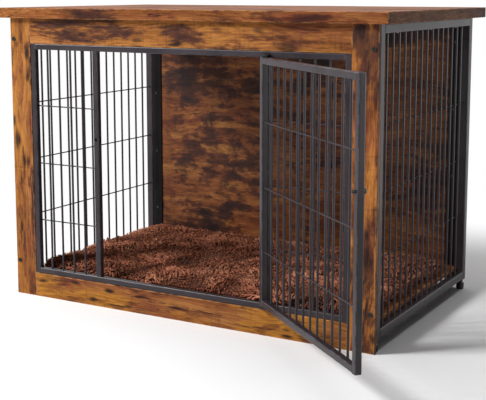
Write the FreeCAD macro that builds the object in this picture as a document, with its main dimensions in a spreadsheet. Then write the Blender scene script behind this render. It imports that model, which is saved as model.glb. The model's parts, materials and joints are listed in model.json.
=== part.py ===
import FreeCAD, Part
import math
import os
import re

import Sketcher

# Wooden pet crate, in millimetres, +Z up. X runs along the front, to the right as seen by someone who
# faces the door, and Y runs from the front to the back. The origin is on the floor, in the middle of
# the underside of the front bottom rail. The door is modelled open, at door_open_angle.

SIZES = {
    # Whole crate
    "overall_height": 700.0,
    "body_width": 950.0,
    "body_depth": 585.0,
    # Tabletop
    "top_thickness": 24.0,
    "top_side_overhang": 25.0,
    "top_front_overhang": 15.0,
    "top_back_overhang": 20.0,
    "top_edge_round": 1.5,
    # Boards of the front frame
    "board_thickness": 12.0,
    "stile_width": 59.0,
    "top_rail_height": 60.0,
    "bottom_rail_height": 58.0,
    "board_edge_round": 0.8,
    "dowel_diameter": 6.0,
    "dowel_depth": 20.0,
    "dowel_inset": 15.0,
    "dowel_clearance": 0.05,
    # Steel frame inside the front boards, and the door, of one tube
    "grille_tube": 14.0,
    "grille_wall": 1.2,
    "grille_corner": 2.5,
    "grille_recess": 1.0,
    "left_mullion_inner": 220.0,
    "right_mullion_inner": 214.0,
    # Rods of all grilles
    "bar_diameter": 5.0,
    "bar_setback": 5.0,
    "wire_diameter": 3.0,
    "weld_gap": 0.1,
    "lowest_wire_height": 190.0,
    "wire_pitch": 139.0,
    "wire_count": 3.0,
    "bay_bar_count": 4.0,
    "side_bar_count": 15.0,
    "door_bar_count": 12.0,
    # Side panels and crossbars, of one larger tube
    "side_tube": 20.0,
    "side_wall": 1.5,
    "side_corner": 3.0,
    # Levelling feet and their plugs
    "foot_height": 26.0,
    "foot_radius": 9.5,
    "foot_sole_radius": 7.5,
    "foot_sole_round": 3.0,
    "foot_pad_height": 15.0,
    "foot_neck_radius": 6.5,
    "foot_neck_gap": 1.5,
    "stud_diameter": 8.0,
    "stud_length": 14.0,
    "plug_length": 16.0,
    "plug_clearance": 0.05,
    "stud_clearance": 0.05,
    # Back panel
    "panel_thickness": 12.0,
    "panel_side_gap": 1.0,
    "flange_width": 30.0,
    "flange_thickness": 3.0,
    "flange_front_gap": 2.0,
    "flange_floor_gap": 4.0,
    # Floor
    "floor_thickness": 10.0,
    "floor_side_gap": 1.0,
    "floor_front_bearing": 16.0,
    # Plush mat
    "mat_thickness": 30.0,
    "mat_side_gap": 8.0,
    "mat_front_gap": 5.0,
    "mat_back_gap": 6.0,
    "mat_seat_gap": 0.3,
    "mat_corner": 45.0,
    "mat_side_draw": 6.0,
    "mat_foot_inset": 5.0,
    "mat_shoulder_inset": 9.0,
    "mat_crown_inset": 80.0,
    # Door, which covers both mullions
    "door_bottom_lap": 2.5,
    "door_top_lap": 1.5,
    "door_open_angle": 140.2,
    "cap_thickness": 3.0,
    "cap_clearance": 0.05,
    # Pivots that the door turns on
    "pivot_standoff": 9.5,
    "pivot_pin_diameter": 6.0,
    "pivot_pin_clearance": 0.05,
    "pivot_pin_reach": 16.0,
    "pivot_head_radius": 4.5,
    "pivot_head_height": 2.0,
    "bush_length": 18.0,
    "bracket_thickness": 3.0,
    "bracket_width": 20.0,
    "bracket_nose": 7.0,
    "bracket_corner": 4.0,
    "washer_radius": 6.5,
    "washer_thickness": 3.2,
    "washer_gap": 0.3,
    # Latch plunger
    "latch_height": 398.0,
    "latch_rod_diameter": 6.0,
    "latch_rod_clearance": 0.1,
    "latch_tip_length": 1.5,
    "latch_tip_radius": 1.8,
    "latch_engagement": 5.5,
    "latch_keeper_clearance": 0.5,
    "latch_knob_radius": 6.0,
    "latch_knob_height": 4.0,
    "latch_knob_round": 1.0,
    "latch_knob_gap": 0.3,
    # Socket-head bolts of the stiles
    "bolt_edge_distance": 10.0,
    "bolt_top_distance": 50.0,
    "bolt_bottom_height": 84.0,
    "bolt_head_diameter": 10.0,
    "bolt_head_height": 2.0,
    "bolt_shank_diameter": 6.0,
    "bolt_length": 22.0,
    "bolt_socket_radius": 2.6,
    "bolt_socket_depth": 1.4,
    "bolt_clearance": 0.1,
    # Wood screws
    "screw_head_radius": 3.6,
    "screw_head_height": 2.0,
    "screw_shank_radius": 1.9,
    "screw_clearance": 0.05,
    "screw_grip_in_wood": 9.0,
    "tabletop_screws_per_side": 3.0,
    "back_screws_per_side": 4.0,
    "back_screw_end_distance": 60.0,
    "grille_screw_end_distance": 95.0,
    # Overrun of cuts that pass right through
    "overrun": 1.0,
}

# Places and lengths that follow from the sizes.
DERIVED = {
    "half_body": "body_width / 2",
    "front_face": "0 - board_thickness / 2",
    "board_back": "board_thickness / 2",
    "rear_face": "front_face + body_depth",
    "top_underside": "overall_height - top_thickness",
    "top_front": "front_face - top_front_overhang",
    "top_length": "body_width + 2 * top_side_overhang",
    "top_depth": "top_front_overhang + body_depth + top_back_overhang",
    "bolt_top_height": "top_underside - bolt_top_distance",
    "stile_inner": "half_body - stile_width",
    "top_rail_bottom": "top_underside - top_rail_height",
    "grille_front": "front_face + grille_recess",
    "grille_back": "grille_front + grille_tube",
    "grille_width": "2 * stile_inner",
    "grille_height": "top_rail_bottom - bottom_rail_height",
    "grille_post_inner": "stile_inner - grille_tube",
    "opening_bottom": "bottom_rail_height + grille_tube",
    "opening_top": "top_rail_bottom - grille_tube",
    "opening_height": "opening_top - opening_bottom",
    "rod_offset": "bar_diameter / 2 + wire_diameter / 2 + weld_gap",
    "front_bar_line": "grille_front + bar_setback",
    "front_wire_line": "front_bar_line + rod_offset",
    "side_inner": "half_body - side_tube",
    "side_middle": "half_body - side_tube / 2",
    "side_wire_line": "side_middle - rod_offset",
    "front_post_back": "board_back + side_tube",
    "front_post_middle": "board_back + side_tube / 2",
    "rear_post_front": "rear_face - side_tube",
    "rear_post_middle": "rear_face - side_tube / 2",
    "side_span": "rear_post_front - front_post_back",
    "low_rail_top": "foot_height + side_tube",
    "high_rail_bottom": "top_underside - side_tube",
    "post_height": "top_underside - foot_height",
    "side_opening_height": "high_rail_bottom - low_rail_top",
    "foot_neck_top": "foot_height - foot_neck_gap",
    "plug_side": "side_tube - 2 * side_wall - 2 * plug_clearance",
    "flange_front": "rear_post_front + flange_front_gap",
    "panel_front": "flange_front + flange_thickness",
    "floor_top": "low_rail_top + floor_thickness",
    "floor_front": "front_post_back - floor_front_bearing",
    "floor_back": "panel_front - floor_side_gap",
    "flange_bottom": "floor_top + flange_floor_gap",
    "pivot_x": "right_mullion_inner + grille_tube / 2",
    "pivot_y": "grille_front - pivot_standoff",
    "door_bottom": "opening_bottom - door_bottom_lap",
    "door_top": "opening_top + door_top_lap",
    "door_height": "door_top - door_bottom",
    "door_width": "left_mullion_inner + right_mullion_inner + 2 * grille_tube",
    "door_outer": "0 - grille_tube / 2",
    "door_near": "grille_tube / 2",
    "door_far": "door_near - door_width",
    "door_span": "door_width - 2 * grille_tube",
    "door_bar_line": "door_outer + bar_setback",
    "door_wire_line": "door_bar_line + rod_offset",
    "bracket_gap": "washer_thickness + washer_gap",
    "latch_x": "door_far + grille_tube / 2",
    "latch_tip": "pivot_standoff + latch_engagement",
    "latch_base": "door_outer - latch_knob_gap",
    "grille_bore": "grille_tube - 2 * grille_wall",
}

doc = FreeCAD.newDocument("PetCrate")
sheet = doc.addObject("Spreadsheet::Sheet", "Sizes")
for row, (alias, value) in enumerate(SIZES.items(), start=1):
    sheet.set(f"A{row}", alias)
    sheet.set(f"B{row}", str(value))
    sheet.setAlias(f"B{row}", alias)
doc.recompute()

LEFT, RIGHT = "left", "right"
X, Y, Z = range(3)
AXES = (FreeCAD.Vector(1, 0, 0), FreeCAD.Vector(0, 1, 0), FreeCAD.Vector(0, 0, 1))
# Turns that lay the +Z of a cylinder or a fastener along +X, -X, +Y or -Y
ALONG_X = FreeCAD.Rotation(AXES[Y], 90)
ALONG_MINUS_X = FreeCAD.Rotation(AXES[Y], -90)
ALONG_Y = FreeCAD.Rotation(AXES[X], -90)
ALONG_MINUS_Y = FreeCAD.Rotation(AXES[X], 90)
ALONG_Z = FreeCAD.Rotation()

nodes = []


def formula(text):
    """Turn named sizes and derived places in a text into an expression on the sheet's cells."""
    def cell(match):
        word = match.group(0)
        if word in SIZES:
            return f"Sizes.{word}"
        if word in DERIVED:
            return f"({formula(DERIVED[word])})"
        return word
    return re.sub(r"[a-z][a-z_]*", cell, text)


def size(name):
    """Value of a driving dimension, read from its cell."""
    return float(sheet.get(name))


def count(name):
    return int(round(size(name)))


def bind(item, **properties):
    for name, text in properties.items():
        item.setExpression(name, formula(text))


def locate(item, at):
    for axis, text in zip("xyz", at):
        item.setExpression(f"Placement.Base.{axis}", formula(text))


def node(item):
    """Keep an object as one named sub-part of the crate."""
    item.Label = item.Name
    nodes.append(item)
    return item


def on_side(side, start, width):
    """X at which a piece starts that spans start to start + width on the right, or its mirror image."""
    return start if side == RIGHT else f"0 - ({start}) - ({width})"


def at_side(side, distance):
    return distance if side == RIGHT else f"0 - ({distance})"


def box_edges(axis):
    """Names of a box's edges that run along an axis, or of all its edges."""
    names = []
    for number, edge in enumerate(Part.makeBox(1, 1, 1).Edges, start=1):
        run = edge.Vertexes[1].Point - edge.Vertexes[0].Point
        if axis is None or abs(run.dot(AXES[axis])) > 0.5:
            names.append(f"Edge{number}")
    return names


def block(name, measures, at, rounding, axis=None):
    """Body of one box whose edges are rounded: all of them, or those along one axis."""
    body = doc.addObject("PartDesign::Body", name)
    box = body.newObject("PartDesign::AdditiveBox", f"{name}_block")
    bind(box, Length=measures[X], Width=measures[Y], Height=measures[Z])
    locate(box, at)
    rounded = body.newObject("PartDesign::Fillet", f"{name}_edges")
    rounded.Base = (box, box_edges(axis))
    bind(rounded, Radius=rounding)
    return body


def tube(name, axis, measures, at, wall, corner):
    """Body of a square tube with rounded corners, open at both ends, that runs along an axis."""
    body = block(name, measures, at, corner, axis)
    bore = body.newObject("PartDesign::SubtractiveBox", f"{name}_bore")
    inset = ["overrun" if run == axis else f"0 - {wall}" for run in (X, Y, Z)]
    spans = [f"{measures[run]} + 2 * ({inset[run]})" for run in (X, Y, Z)]
    bind(bore, Length=spans[X], Width=spans[Y], Height=spans[Z])
    locate(bore, [f"{at[run]} - ({inset[run]})" for run in (X, Y, Z)])
    return body


def drill(body, name, turn, radius, depth, at):
    """Cut a round hole into a body, from a point along the direction that a turn gives."""
    hole = body.newObject("PartDesign::SubtractiveCylinder", name)
    hole.Placement = FreeCAD.Placement(FreeCAD.Vector(), turn)
    bind(hole, Radius=radius, Height=depth)
    locate(hole, at)


def rod(name, turn, diameter, length, at):
    cylinder = doc.addObject("Part::Cylinder", name)
    cylinder.Placement = FreeCAD.Placement(FreeCAD.Vector(), turn)
    bind(cylinder, Radius=f"({diameter}) / 2", Height=length)
    locate(cylinder, at)
    return cylinder


def plain_box(name, measures, at):
    box = doc.addObject("Part::Box", name)
    bind(box, Length=measures[X], Width=measures[Y], Height=measures[Z])
    locate(box, at)
    return box


def group(name, items):
    """Separate solids that share one node."""
    compound = doc.addObject("Part::Compound", name)
    compound.Links = items
    return compound


def fuse(name, items):
    joined = doc.addObject("Part::MultiFuse", name)
    joined.Shapes = items
    return joined


def cut(name, base, tool):
    result = doc.addObject("Part::Cut", name)
    result.Base = base
    result.Tool = tool
    return result


def swing(item):
    """Hang a piece on the door: its own origin lies on the pivot line, and it turns with the door."""
    angle = size("door_open_angle")
    item.Placement = FreeCAD.Placement(FreeCAD.Vector(), FreeCAD.Rotation(AXES[Z], angle))
    item.setExpression("Placement.Rotation.Angle", "Sizes.door_open_angle")
    locate(item, ("pivot_x", "pivot_y", "0"))
    return item


def wood_screw(name, turn, length, at):
    """Pan-head screw whose shank starts at a point, under its head, and runs the way of the turn."""
    shank = rod(f"{name}_shank", ALONG_Z, "2 * screw_shank_radius", length, ("0", "0", "0"))
    head = rod(f"{name}_head", ALONG_Z, "2 * screw_head_radius", "screw_head_height",
               ("0", "0", "0 - screw_head_height"))
    screw = fuse(name, [head, shank])
    screw.Placement = FreeCAD.Placement(FreeCAD.Vector(), turn)
    locate(screw, at)
    return screw


# Tabletop

def tabletop_screw_places():
    """Y of the tabletop's screws, each midway between two bars of a side grille."""
    gaps = count("side_bar_count") + 1
    number = count("tabletop_screws_per_side")
    places = []
    for index in range(number):
        gap = round((index + 0.5) * gaps / number - 0.5)
        places.append(f"front_post_back + ({gap} + 0.5) * side_span / (side_bar_count + 1)")
    return places


tabletop = node(block("tabletop", ("top_length", "top_depth", "top_thickness"),
                      ("0 - top_length / 2", "top_front", "top_underside"), "top_edge_round"))
tabletop_screws = []
for side in (LEFT, RIGHT):
    for index, place in enumerate(tabletop_screw_places()):
        name = f"tabletop_screw_{side}_{index}"
        under_rail = (at_side(side, "side_middle"), place, "high_rail_bottom")
        tabletop_screws.append(wood_screw(name, ALONG_Z, "side_tube + screw_grip_in_wood", under_rail))
        drill(tabletop, f"{name}_pilot", ALONG_Z, "screw_shank_radius + screw_clearance",
              "screw_grip_in_wood + screw_clearance", (under_rail[X], place, "top_underside"))
node(group("tabletop_screws", tabletop_screws))


# Front frame of four boards, with dowels in its corners and bolts through its stiles

FRONT_RAILS = {
    "front_top_rail": ("top_rail_bottom", "top_rail_height"),
    "front_bottom_rail": ("0", "bottom_rail_height"),
}
BOLT_HEIGHTS = ("bolt_top_height", "bolt_bottom_height")

stiles = {}
for side in (LEFT, RIGHT):
    stiles[side] = node(block(
        f"front_{side}_stile", ("stile_width", "board_thickness", "top_underside"),
        (on_side(side, "stile_inner", "stile_width"), "front_face", "0"), "board_edge_round"))
rails = {}
for name, (bottom, height) in FRONT_RAILS.items():
    rails[name] = node(block(name, ("grille_width", "board_thickness", height),
                             ("0 - stile_inner", "front_face", bottom), "board_edge_round"))

dowels = []
for name, (bottom, height) in FRONT_RAILS.items():
    for side in (LEFT, RIGHT):
        outward = ALONG_X if side == RIGHT else ALONG_MINUS_X
        for row, level in enumerate((f"{bottom} + dowel_inset", f"{bottom} + {height} - dowel_inset")):
            start = (at_side(side, "stile_inner - dowel_depth"), "0", level)
            dowel = f"{name}_dowel_{side}_{row}"
            dowels.append(rod(dowel, outward, "dowel_diameter", "2 * dowel_depth", start))
            hole = ("dowel_diameter / 2 + dowel_clearance", "2 * (dowel_depth + dowel_clearance)")
            mouth = (at_side(side, "stile_inner - dowel_depth - dowel_clearance"), "0", level)
            drill(stiles[side], f"{dowel}_stile_hole", outward, hole[0], hole[1], mouth)
            drill(rails[name], f"{dowel}_rail_hole", outward, hole[0], hole[1], mouth)
node(group("rail_dowels", dowels))


def socket_bolt(name, at):
    """Bolt with a low socket head, whose shank runs back from the stile's face into the post."""
    shank = rod(f"{name}_shank", ALONG_Z, "bolt_shank_diameter", "bolt_length", ("0", "0", "0"))
    head = rod(f"{name}_head", ALONG_Z, "bolt_head_diameter", "bolt_head_height",
               ("0", "0", "0 - bolt_head_height"))
    socket = doc.addObject("Part::Prism", f"{name}_socket")
    socket.Polygon = 6
    bind(socket, Circumradius="bolt_socket_radius", Height="bolt_socket_depth")
    locate(socket, ("0", "0", "0 - bolt_head_height"))
    bolt = cut(name, fuse(f"{name}_blank", [head, shank]), socket)
    bolt.Placement = FreeCAD.Placement(FreeCAD.Vector(), ALONG_Y)
    locate(bolt, at)
    return bolt


# Side panels: a frame of four tubes round a rod grille, and a foot plug in each post

def rod_grille(name, bar_length, bar_at, bars, wire_turn, wire_length, wire_at):
    """Upright bars and cross wires as separate rods of one grille.

    bar_at and wire_at give a rod's start from its number, and bars is how many bars there are.
    """
    rods = []
    for index in range(bars):
        rods.append(rod(f"{name}_bar_{index}", ALONG_Z, "bar_diameter", bar_length, bar_at(index)))
    for index in range(count("wire_count")):
        level = f"lowest_wire_height + {index} * wire_pitch"
        rods.append(rod(f"{name}_wire_{index}", wire_turn, "wire_diameter", wire_length, wire_at(level)))
    return group(name, rods)


POST_PLACES = {"front": ("board_back", "front_post_middle"), "rear": ("rear_post_front", "rear_post_middle")}
side_tube_sizes = ("side_wall", "side_corner")
posts = {}
plugs = []
for side in (LEFT, RIGHT):
    start_x = on_side(side, "side_inner", "side_tube")
    middle_x = at_side(side, "side_middle")
    for end, (start_y, middle_y) in POST_PLACES.items():
        posts[side, end] = node(tube(f"{side}_{end}_post", Z, ("side_tube", "side_tube", "post_height"),
                                     (start_x, start_y, "foot_height"), *side_tube_sizes))
        plug = doc.addObject("PartDesign::Body", f"{side}_{end}_plug")
        core = plug.newObject("PartDesign::AdditiveBox", f"{side}_{end}_plug_core")
        bind(core, Length="plug_side", Width="plug_side", Height="plug_length")
        locate(core, (f"{middle_x} - plug_side / 2", f"{middle_y} - plug_side / 2", "foot_height"))
        drill(plug, f"{side}_{end}_plug_bore", ALONG_Z, "stud_diameter / 2 + stud_clearance",
              "plug_length + 2 * overrun", (middle_x, middle_y, "foot_height - overrun"))
        plugs.append(plug)
    for height, start_z in (("top", "high_rail_bottom"), ("bottom", "foot_height")):
        rail = node(tube(f"{side}_{height}_rail", Y, ("side_tube", "side_span", "side_tube"),
                         (start_x, "front_post_back", start_z), *side_tube_sizes))
        if height == "top":
            for index, place in enumerate(tabletop_screw_places()):
                drill(rail, f"{side}_screw_hole_{index}", ALONG_Z, "screw_shank_radius + screw_clearance",
                      "side_tube + 2 * overrun", (middle_x, place, "high_rail_bottom - overrun"))
    bar_pitch = "side_span / (side_bar_count + 1)"
    node(rod_grille(
        f"{side}_side_grille", "side_opening_height",
        lambda index: (middle_x, f"front_post_back + {index + 1} * {bar_pitch}", "low_rail_top"),
        count("side_bar_count"), ALONG_Y, "side_span",
        lambda level: (at_side(side, "side_wire_line"), "front_post_back", level)))
node(group("foot_plugs", plugs))

stile_bolts = []
for side in (LEFT, RIGHT):
    for height in BOLT_HEIGHTS:
        name = f"stile_{height}_{side}"
        place = at_side(side, "half_body - bolt_edge_distance")
        stile_bolts.append(socket_bolt(name, (place, "front_face", height)))
        for body in (stiles[side], posts[side, "front"]):
            drill(body, f"{name}_{body.Name}_hole", ALONG_Y, "bolt_shank_diameter / 2 + bolt_clearance",
                  "bolt_length + overrun", (place, "front_face", height))
node(group("stile_bolts", stile_bolts))


# Steel frame inside the front boards

grille_tube_sizes = ("grille_wall", "grille_corner")
MULLION_INNERS = {LEFT: "left_mullion_inner", RIGHT: "right_mullion_inner"}
grille_posts = {}
mullions = {}
for side in (LEFT, RIGHT):
    grille_posts[side] = node(tube(
        f"grille_{side}_post", Z, ("grille_tube", "grille_tube", "grille_height"),
        (on_side(side, "grille_post_inner", "grille_tube"), "grille_front", "bottom_rail_height"),
        *grille_tube_sizes))
    mullions[side] = node(tube(
        f"{side}_mullion", Z, ("grille_tube", "grille_tube", "opening_height"),
        (on_side(side, MULLION_INNERS[side], "grille_tube"), "grille_front", "opening_bottom"),
        *grille_tube_sizes))
for height, start_z in (("top", "opening_top"), ("bottom", "bottom_rail_height")):
    node(tube(f"grille_{height}_tube", X, ("2 * grille_post_inner", "grille_tube", "grille_tube"),
              ("0 - grille_post_inner", "grille_front", start_z), *grille_tube_sizes))
for side in (LEFT, RIGHT):
    bay_start = f"({MULLION_INNERS[side]} + grille_tube)"
    bay_width = f"(grille_post_inner - {bay_start})"
    bay_pitch = f"{bay_width} / (bay_bar_count + 1)"
    node(rod_grille(
        f"front_{side}_grille", "opening_height",
        lambda index: (at_side(side, f"{bay_start} + {index + 1} * {bay_pitch}"), "front_bar_line",
                       "opening_bottom"),
        count("bay_bar_count"), ALONG_X, bay_width,
        lambda level: (on_side(side, bay_start, bay_width), "front_wire_line", level)))

grille_screws = []
for side in (LEFT, RIGHT):
    outward = ALONG_X if side == RIGHT else ALONG_MINUS_X
    for row, level in enumerate(("opening_bottom + grille_screw_end_distance",
                                 "opening_top - grille_screw_end_distance")):
        name = f"grille_screw_{side}_{row}"
        start = (at_side(side, "grille_post_inner"), "grille_front + grille_tube / 2", level)
        grille_screws.append(wood_screw(name, outward, "grille_tube + screw_grip_in_wood", start))
        for body in (grille_posts[side], stiles[side]):
            drill(body, f"{name}_{body.Name}_hole", outward, "screw_shank_radius + screw_clearance",
                  "grille_tube + screw_grip_in_wood + screw_clearance", start)
node(group("grille_screws", grille_screws))

drill(mullions[LEFT], "keeper_hole", ALONG_Y, "latch_rod_diameter / 2 + latch_keeper_clearance",
      "overrun + grille_tube / 2", ("pivot_x + latch_x", "grille_front - overrun", "latch_height"))


# Crossbars, floor board, back panel

CROSSBARS = {
    "front_crossbar": "board_back",
    "middle_crossbar": "(front_post_back + rear_post_front - side_tube) / 2",
    "rear_crossbar": "rear_post_front",
}
for name, start_y in CROSSBARS.items():
    node(tube(name, X, ("2 * side_inner", "side_tube", "side_tube"),
              ("0 - side_inner", start_y, "foot_height"), *side_tube_sizes))

floor_measures = ("2 * (side_inner - floor_side_gap)", "floor_back - floor_front", "floor_thickness")
node(block("floor_board", floor_measures, ("floor_side_gap - side_inner", "floor_front", "low_rail_top"),
           "board_edge_round"))

panel_width = "2 * (side_inner - panel_side_gap)"
back_panel = node(block("back_panel", (panel_width, "panel_thickness", "top_underside - low_rail_top"),
                        ("panel_side_gap - side_inner", "panel_front", "low_rail_top"), "board_edge_round"))
back_screws = []
for side in (LEFT, RIGHT):
    flange = node(block(f"back_{side}_flange",
                        ("flange_width", "flange_thickness", "top_underside - flange_bottom"),
                        (on_side(side, "side_inner - flange_width", "flange_width"), "flange_front",
                         "flange_bottom"), "board_edge_round", Z))
    number = count("back_screws_per_side")
    for index in range(number):
        reach = "(top_underside - flange_bottom - 2 * back_screw_end_distance)"
        level = f"flange_bottom + back_screw_end_distance + {index} * {reach} / (back_screws_per_side - 1)"
        name = f"back_screw_{side}_{index}"
        start = (at_side(side, "side_inner - flange_width / 2"), "flange_front", level)
        back_screws.append(wood_screw(name, ALONG_Y, "flange_thickness + screw_grip_in_wood", start))
        for body in (flange, back_panel):
            drill(body, f"{name}_{body.Name}_hole", ALONG_Y, "screw_shank_radius + screw_clearance",
                  "flange_thickness + screw_grip_in_wood + screw_clearance", start)
node(group("back_screws", back_screws))


# Plush mat: a crowned pad with rounded corners and drawn-in sides

# Level of each section of the mat, from its underside, as a share of its thickness
MAT_LEVEL_SHARES = (0.0, 0.4, 0.8, 1.0)


def mat_section(half_length, half_depth, corner, draw, level):
    """Closed outline with a round corner at each end of four sides that bow inwards."""
    def arc(start, middle, end):
        return Part.Arc(*(FreeCAD.Vector(x, y, level) for x, y in (start, middle, end))).toShape()
    bulge = corner * (1 - math.sqrt(0.5))
    a, b = half_length, half_depth
    edges = [
        arc((corner - a, -b), (0, draw - b), (a - corner, -b)),
        arc((a - corner, -b), (a - bulge, bulge - b), (a, corner - b)),
        arc((a, corner - b), (a - draw, 0), (a, b - corner)),
        arc((a, b - corner), (a - bulge, b - bulge), (a - corner, b)),
        arc((a - corner, b), (0, b - draw), (corner - a, b)),
        arc((corner - a, b), (bulge - a, b - bulge), (-a, b - corner)),
        arc((-a, b - corner), (draw - a, 0), (-a, corner - b)),
        arc((-a, corner - b), (bulge - a, bulge - b), (corner - a, -b)),
    ]
    return Part.Wire(edges)


def value_of(text):
    """Number that a formula of named sizes gives, worked out by the sheet's own arithmetic."""
    probe = doc.addObject("Part::Vertex", "Probe")
    probe.setExpression("X", formula(text))
    doc.recompute([probe])
    number = probe.X.Value
    doc.removeObject(probe.Name)
    return number


mat_front = value_of("grille_back + mat_front_gap")
mat_back = value_of("flange_front - mat_back_gap")
half_mat_length = value_of("side_wire_line - mat_side_gap")
half_mat_depth = (mat_back - mat_front) / 2
insets = (size("mat_foot_inset"), 0.0, size("mat_shoulder_inset"), size("mat_crown_inset"))
sections = []
for share, inset in zip(MAT_LEVEL_SHARES, insets):
    sections.append(mat_section(half_mat_length - inset, half_mat_depth - inset, size("mat_corner"),
                                size("mat_side_draw"), share * size("mat_thickness")))
plush_mat = node(doc.addObject("Part::Feature", "plush_mat"))
plush_mat.Shape = Part.makeLoft(sections, True, True)
plush_mat.Placement = FreeCAD.Placement(
    FreeCAD.Vector(0, (mat_front + mat_back) / 2, value_of("floor_top + mat_seat_gap")), ALONG_Z)


# Levelling feet

def revolved(body, name, points):
    """Turn an outline about Z. Each point is a radius and a height, and an empty text stands for zero."""
    sketch = body.newObject("Sketcher::SketchObject", f"{name}_outline")
    plane = next(item for item in body.Origin.OriginFeatures if item.Role == "XZ_Plane")
    sketch.AttachmentSupport = (plane, [""])
    sketch.MapMode = "FlatFace"
    corners = [FreeCAD.Vector(*(value_of(text) if text else 0 for text in point), 0) for point in points]
    last = len(corners) - 1
    for index, corner in enumerate(corners):
        sketch.addGeometry(Part.LineSegment(corner, corners[0 if index == last else index + 1]), False)
    for index in range(len(corners)):
        following = 0 if index == last else index + 1
        sketch.addConstraint(Sketcher.Constraint("Coincident", index, 2, following, 1))
    for index, (radius, level) in enumerate(points):
        for kind, text, axis in (("DistanceX", radius, -2), ("DistanceY", level, -1)):
            if text:
                number = sketch.addConstraint(Sketcher.Constraint(kind, -1, 1, index, 1, value_of(text)))
                sketch.setExpression(f"Constraints[{number}]", formula(text))
            else:
                sketch.addConstraint(Sketcher.Constraint("PointOnObject", index, 1, axis))
    turned = body.newObject("PartDesign::Revolution", name)
    turned.Profile = sketch
    turned.ReferenceAxis = (sketch, ["V_Axis"])
    turned.Angle = 360
    sketch.Visibility = False


FOOT_OUTLINE = (
    ("", ""),
    ("foot_sole_radius", ""),
    ("foot_radius", "foot_sole_round"),
    ("foot_radius", "foot_pad_height"),
    ("foot_neck_radius", "foot_pad_height + foot_radius - foot_neck_radius"),
    ("foot_neck_radius", "foot_neck_top"),
    ("stud_diameter / 2", "foot_neck_top"),
    ("stud_diameter / 2", "foot_neck_top + stud_length"),
    ("", "foot_neck_top + stud_length"),
)
for end, (_, middle_y) in POST_PLACES.items():
    for side in (LEFT, RIGHT):
        foot = doc.addObject("PartDesign::Body", f"{end}_{side}_foot")
        revolved(foot, f"{foot.Name}_turned", FOOT_OUTLINE)
        locate(foot, (at_side(side, "side_middle"), middle_y, "0"))
        node(foot)


# Door, in its own frame: its pivot line runs up the middle of the hinge stile, and the closed door
# reaches from there along -X

DOOR_STILES = {"door_hinge_stile": "0 - grille_tube / 2", "door_free_stile": "door_far"}
door_stiles = {}
for name, start_x in DOOR_STILES.items():
    stile = tube(name, Z, ("grille_tube", "grille_tube", "door_height"),
                 (start_x, "door_outer", "door_bottom"), *grille_tube_sizes)
    door_stiles[name] = node(swing(stile))
for height, start_z in (("top", "door_top - grille_tube"), ("bottom", "door_bottom")):
    rail = tube(f"door_{height}_rail", X, ("door_span", "grille_tube", "grille_tube"),
                ("door_far + grille_tube", "door_outer", start_z), *grille_tube_sizes)
    node(swing(rail))
door_pitch = "door_span / (door_bar_count + 1)"
node(swing(rod_grille(
    "door_grille", "door_height - 2 * grille_tube",
    lambda index: (f"door_far + grille_tube + {index + 1} * {door_pitch}", "door_bar_line",
                   "door_bottom + grille_tube"),
    count("door_bar_count"), ALONG_X, "door_span",
    lambda level: ("door_far + grille_tube", "door_wire_line", level))))

plug_width = "(grille_bore - 2 * cap_clearance)"
plug_inset = "grille_wall + cap_clearance"
caps = []
for end, start_z in (("bottom", "door_bottom"), ("top", "door_top - cap_thickness")):
    caps.append(plain_box(f"door_{end}_cap", (plug_width, plug_width, "cap_thickness"),
                          (f"door_far + {plug_inset}", f"door_outer + {plug_inset}", start_z)))
node(swing(group("door_end_caps", caps)))


# Pivots: at each end of the hinge stile a bush inside it turns on a pin, which a bracket on the steel
# frame carries, with a washer between the bracket and the door

PIVOT_ENDS = {"bottom": "door_bottom", "top": "door_top"}


def along_pivot(end, start, length):
    """Lowest point of a length that starts so far into the door from its end, or outside it if below 0."""
    level = PIVOT_ENDS[end]
    return f"{level} + ({start})" if end == "bottom" else f"{level} - ({start}) - ({length})"


bushes = []
pins = []
washers = []
brackets = []
for end in PIVOT_ENDS:
    bush = plain_box(f"{end}_bush_core", (plug_width, plug_width, "bush_length"),
                     (f"door_outer + {plug_inset}", f"door_outer + {plug_inset}",
                      along_pivot(end, "0", "bush_length")))
    bore = rod(f"{end}_bush_bore", ALONG_Z, "pivot_pin_diameter + 2 * pivot_pin_clearance",
               "bush_length + 2 * overrun",
               ("0", "0", along_pivot(end, "0 - overrun", "bush_length + 2 * overrun")))
    bushes.append(cut(f"{end}_bush", bush, bore))
    pin_length = "bracket_thickness + bracket_gap + pivot_pin_reach"
    bracket_start = "0 - bracket_gap - bracket_thickness"
    stem = rod(f"{end}_pin_stem", ALONG_Z, "pivot_pin_diameter", pin_length,
               ("0", "0", along_pivot(end, bracket_start, pin_length)))
    head = rod(f"{end}_pin_head", ALONG_Z, "2 * pivot_head_radius", "pivot_head_height",
               ("0", "0", along_pivot(end, f"{bracket_start} - pivot_head_height", "pivot_head_height")))
    pins.append(fuse(f"{end}_pin", [head, stem]))
    ring = rod(f"{end}_washer_disc", ALONG_Z, "2 * washer_radius", "washer_thickness",
               ("0", "0", along_pivot(end, "0 - bracket_gap", "washer_thickness")))
    eye = rod(f"{end}_washer_eye", ALONG_Z, "pivot_pin_diameter + 2 * pivot_pin_clearance",
              "washer_thickness + 2 * overrun",
              ("0", "0", along_pivot(end, "0 - bracket_gap - overrun", "washer_thickness + 2 * overrun")))
    washers.append(cut(f"{end}_washer", ring, eye))
    tab = block(f"{end}_pivot_bracket",
                ("bracket_width", "pivot_standoff + bracket_nose", "bracket_thickness"),
                ("0 - bracket_width / 2", "0 - bracket_nose",
                 along_pivot(end, bracket_start, "bracket_thickness")), "bracket_corner", Z)
    drill(tab, f"{end}_bracket_eye", ALONG_Z, "pivot_pin_diameter / 2 + pivot_pin_clearance",
          "bracket_thickness + 2 * overrun",
          ("0", "0", along_pivot(end, f"{bracket_start} - overrun", "bracket_thickness + 2 * overrun")))
    brackets.append(tab)
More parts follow.
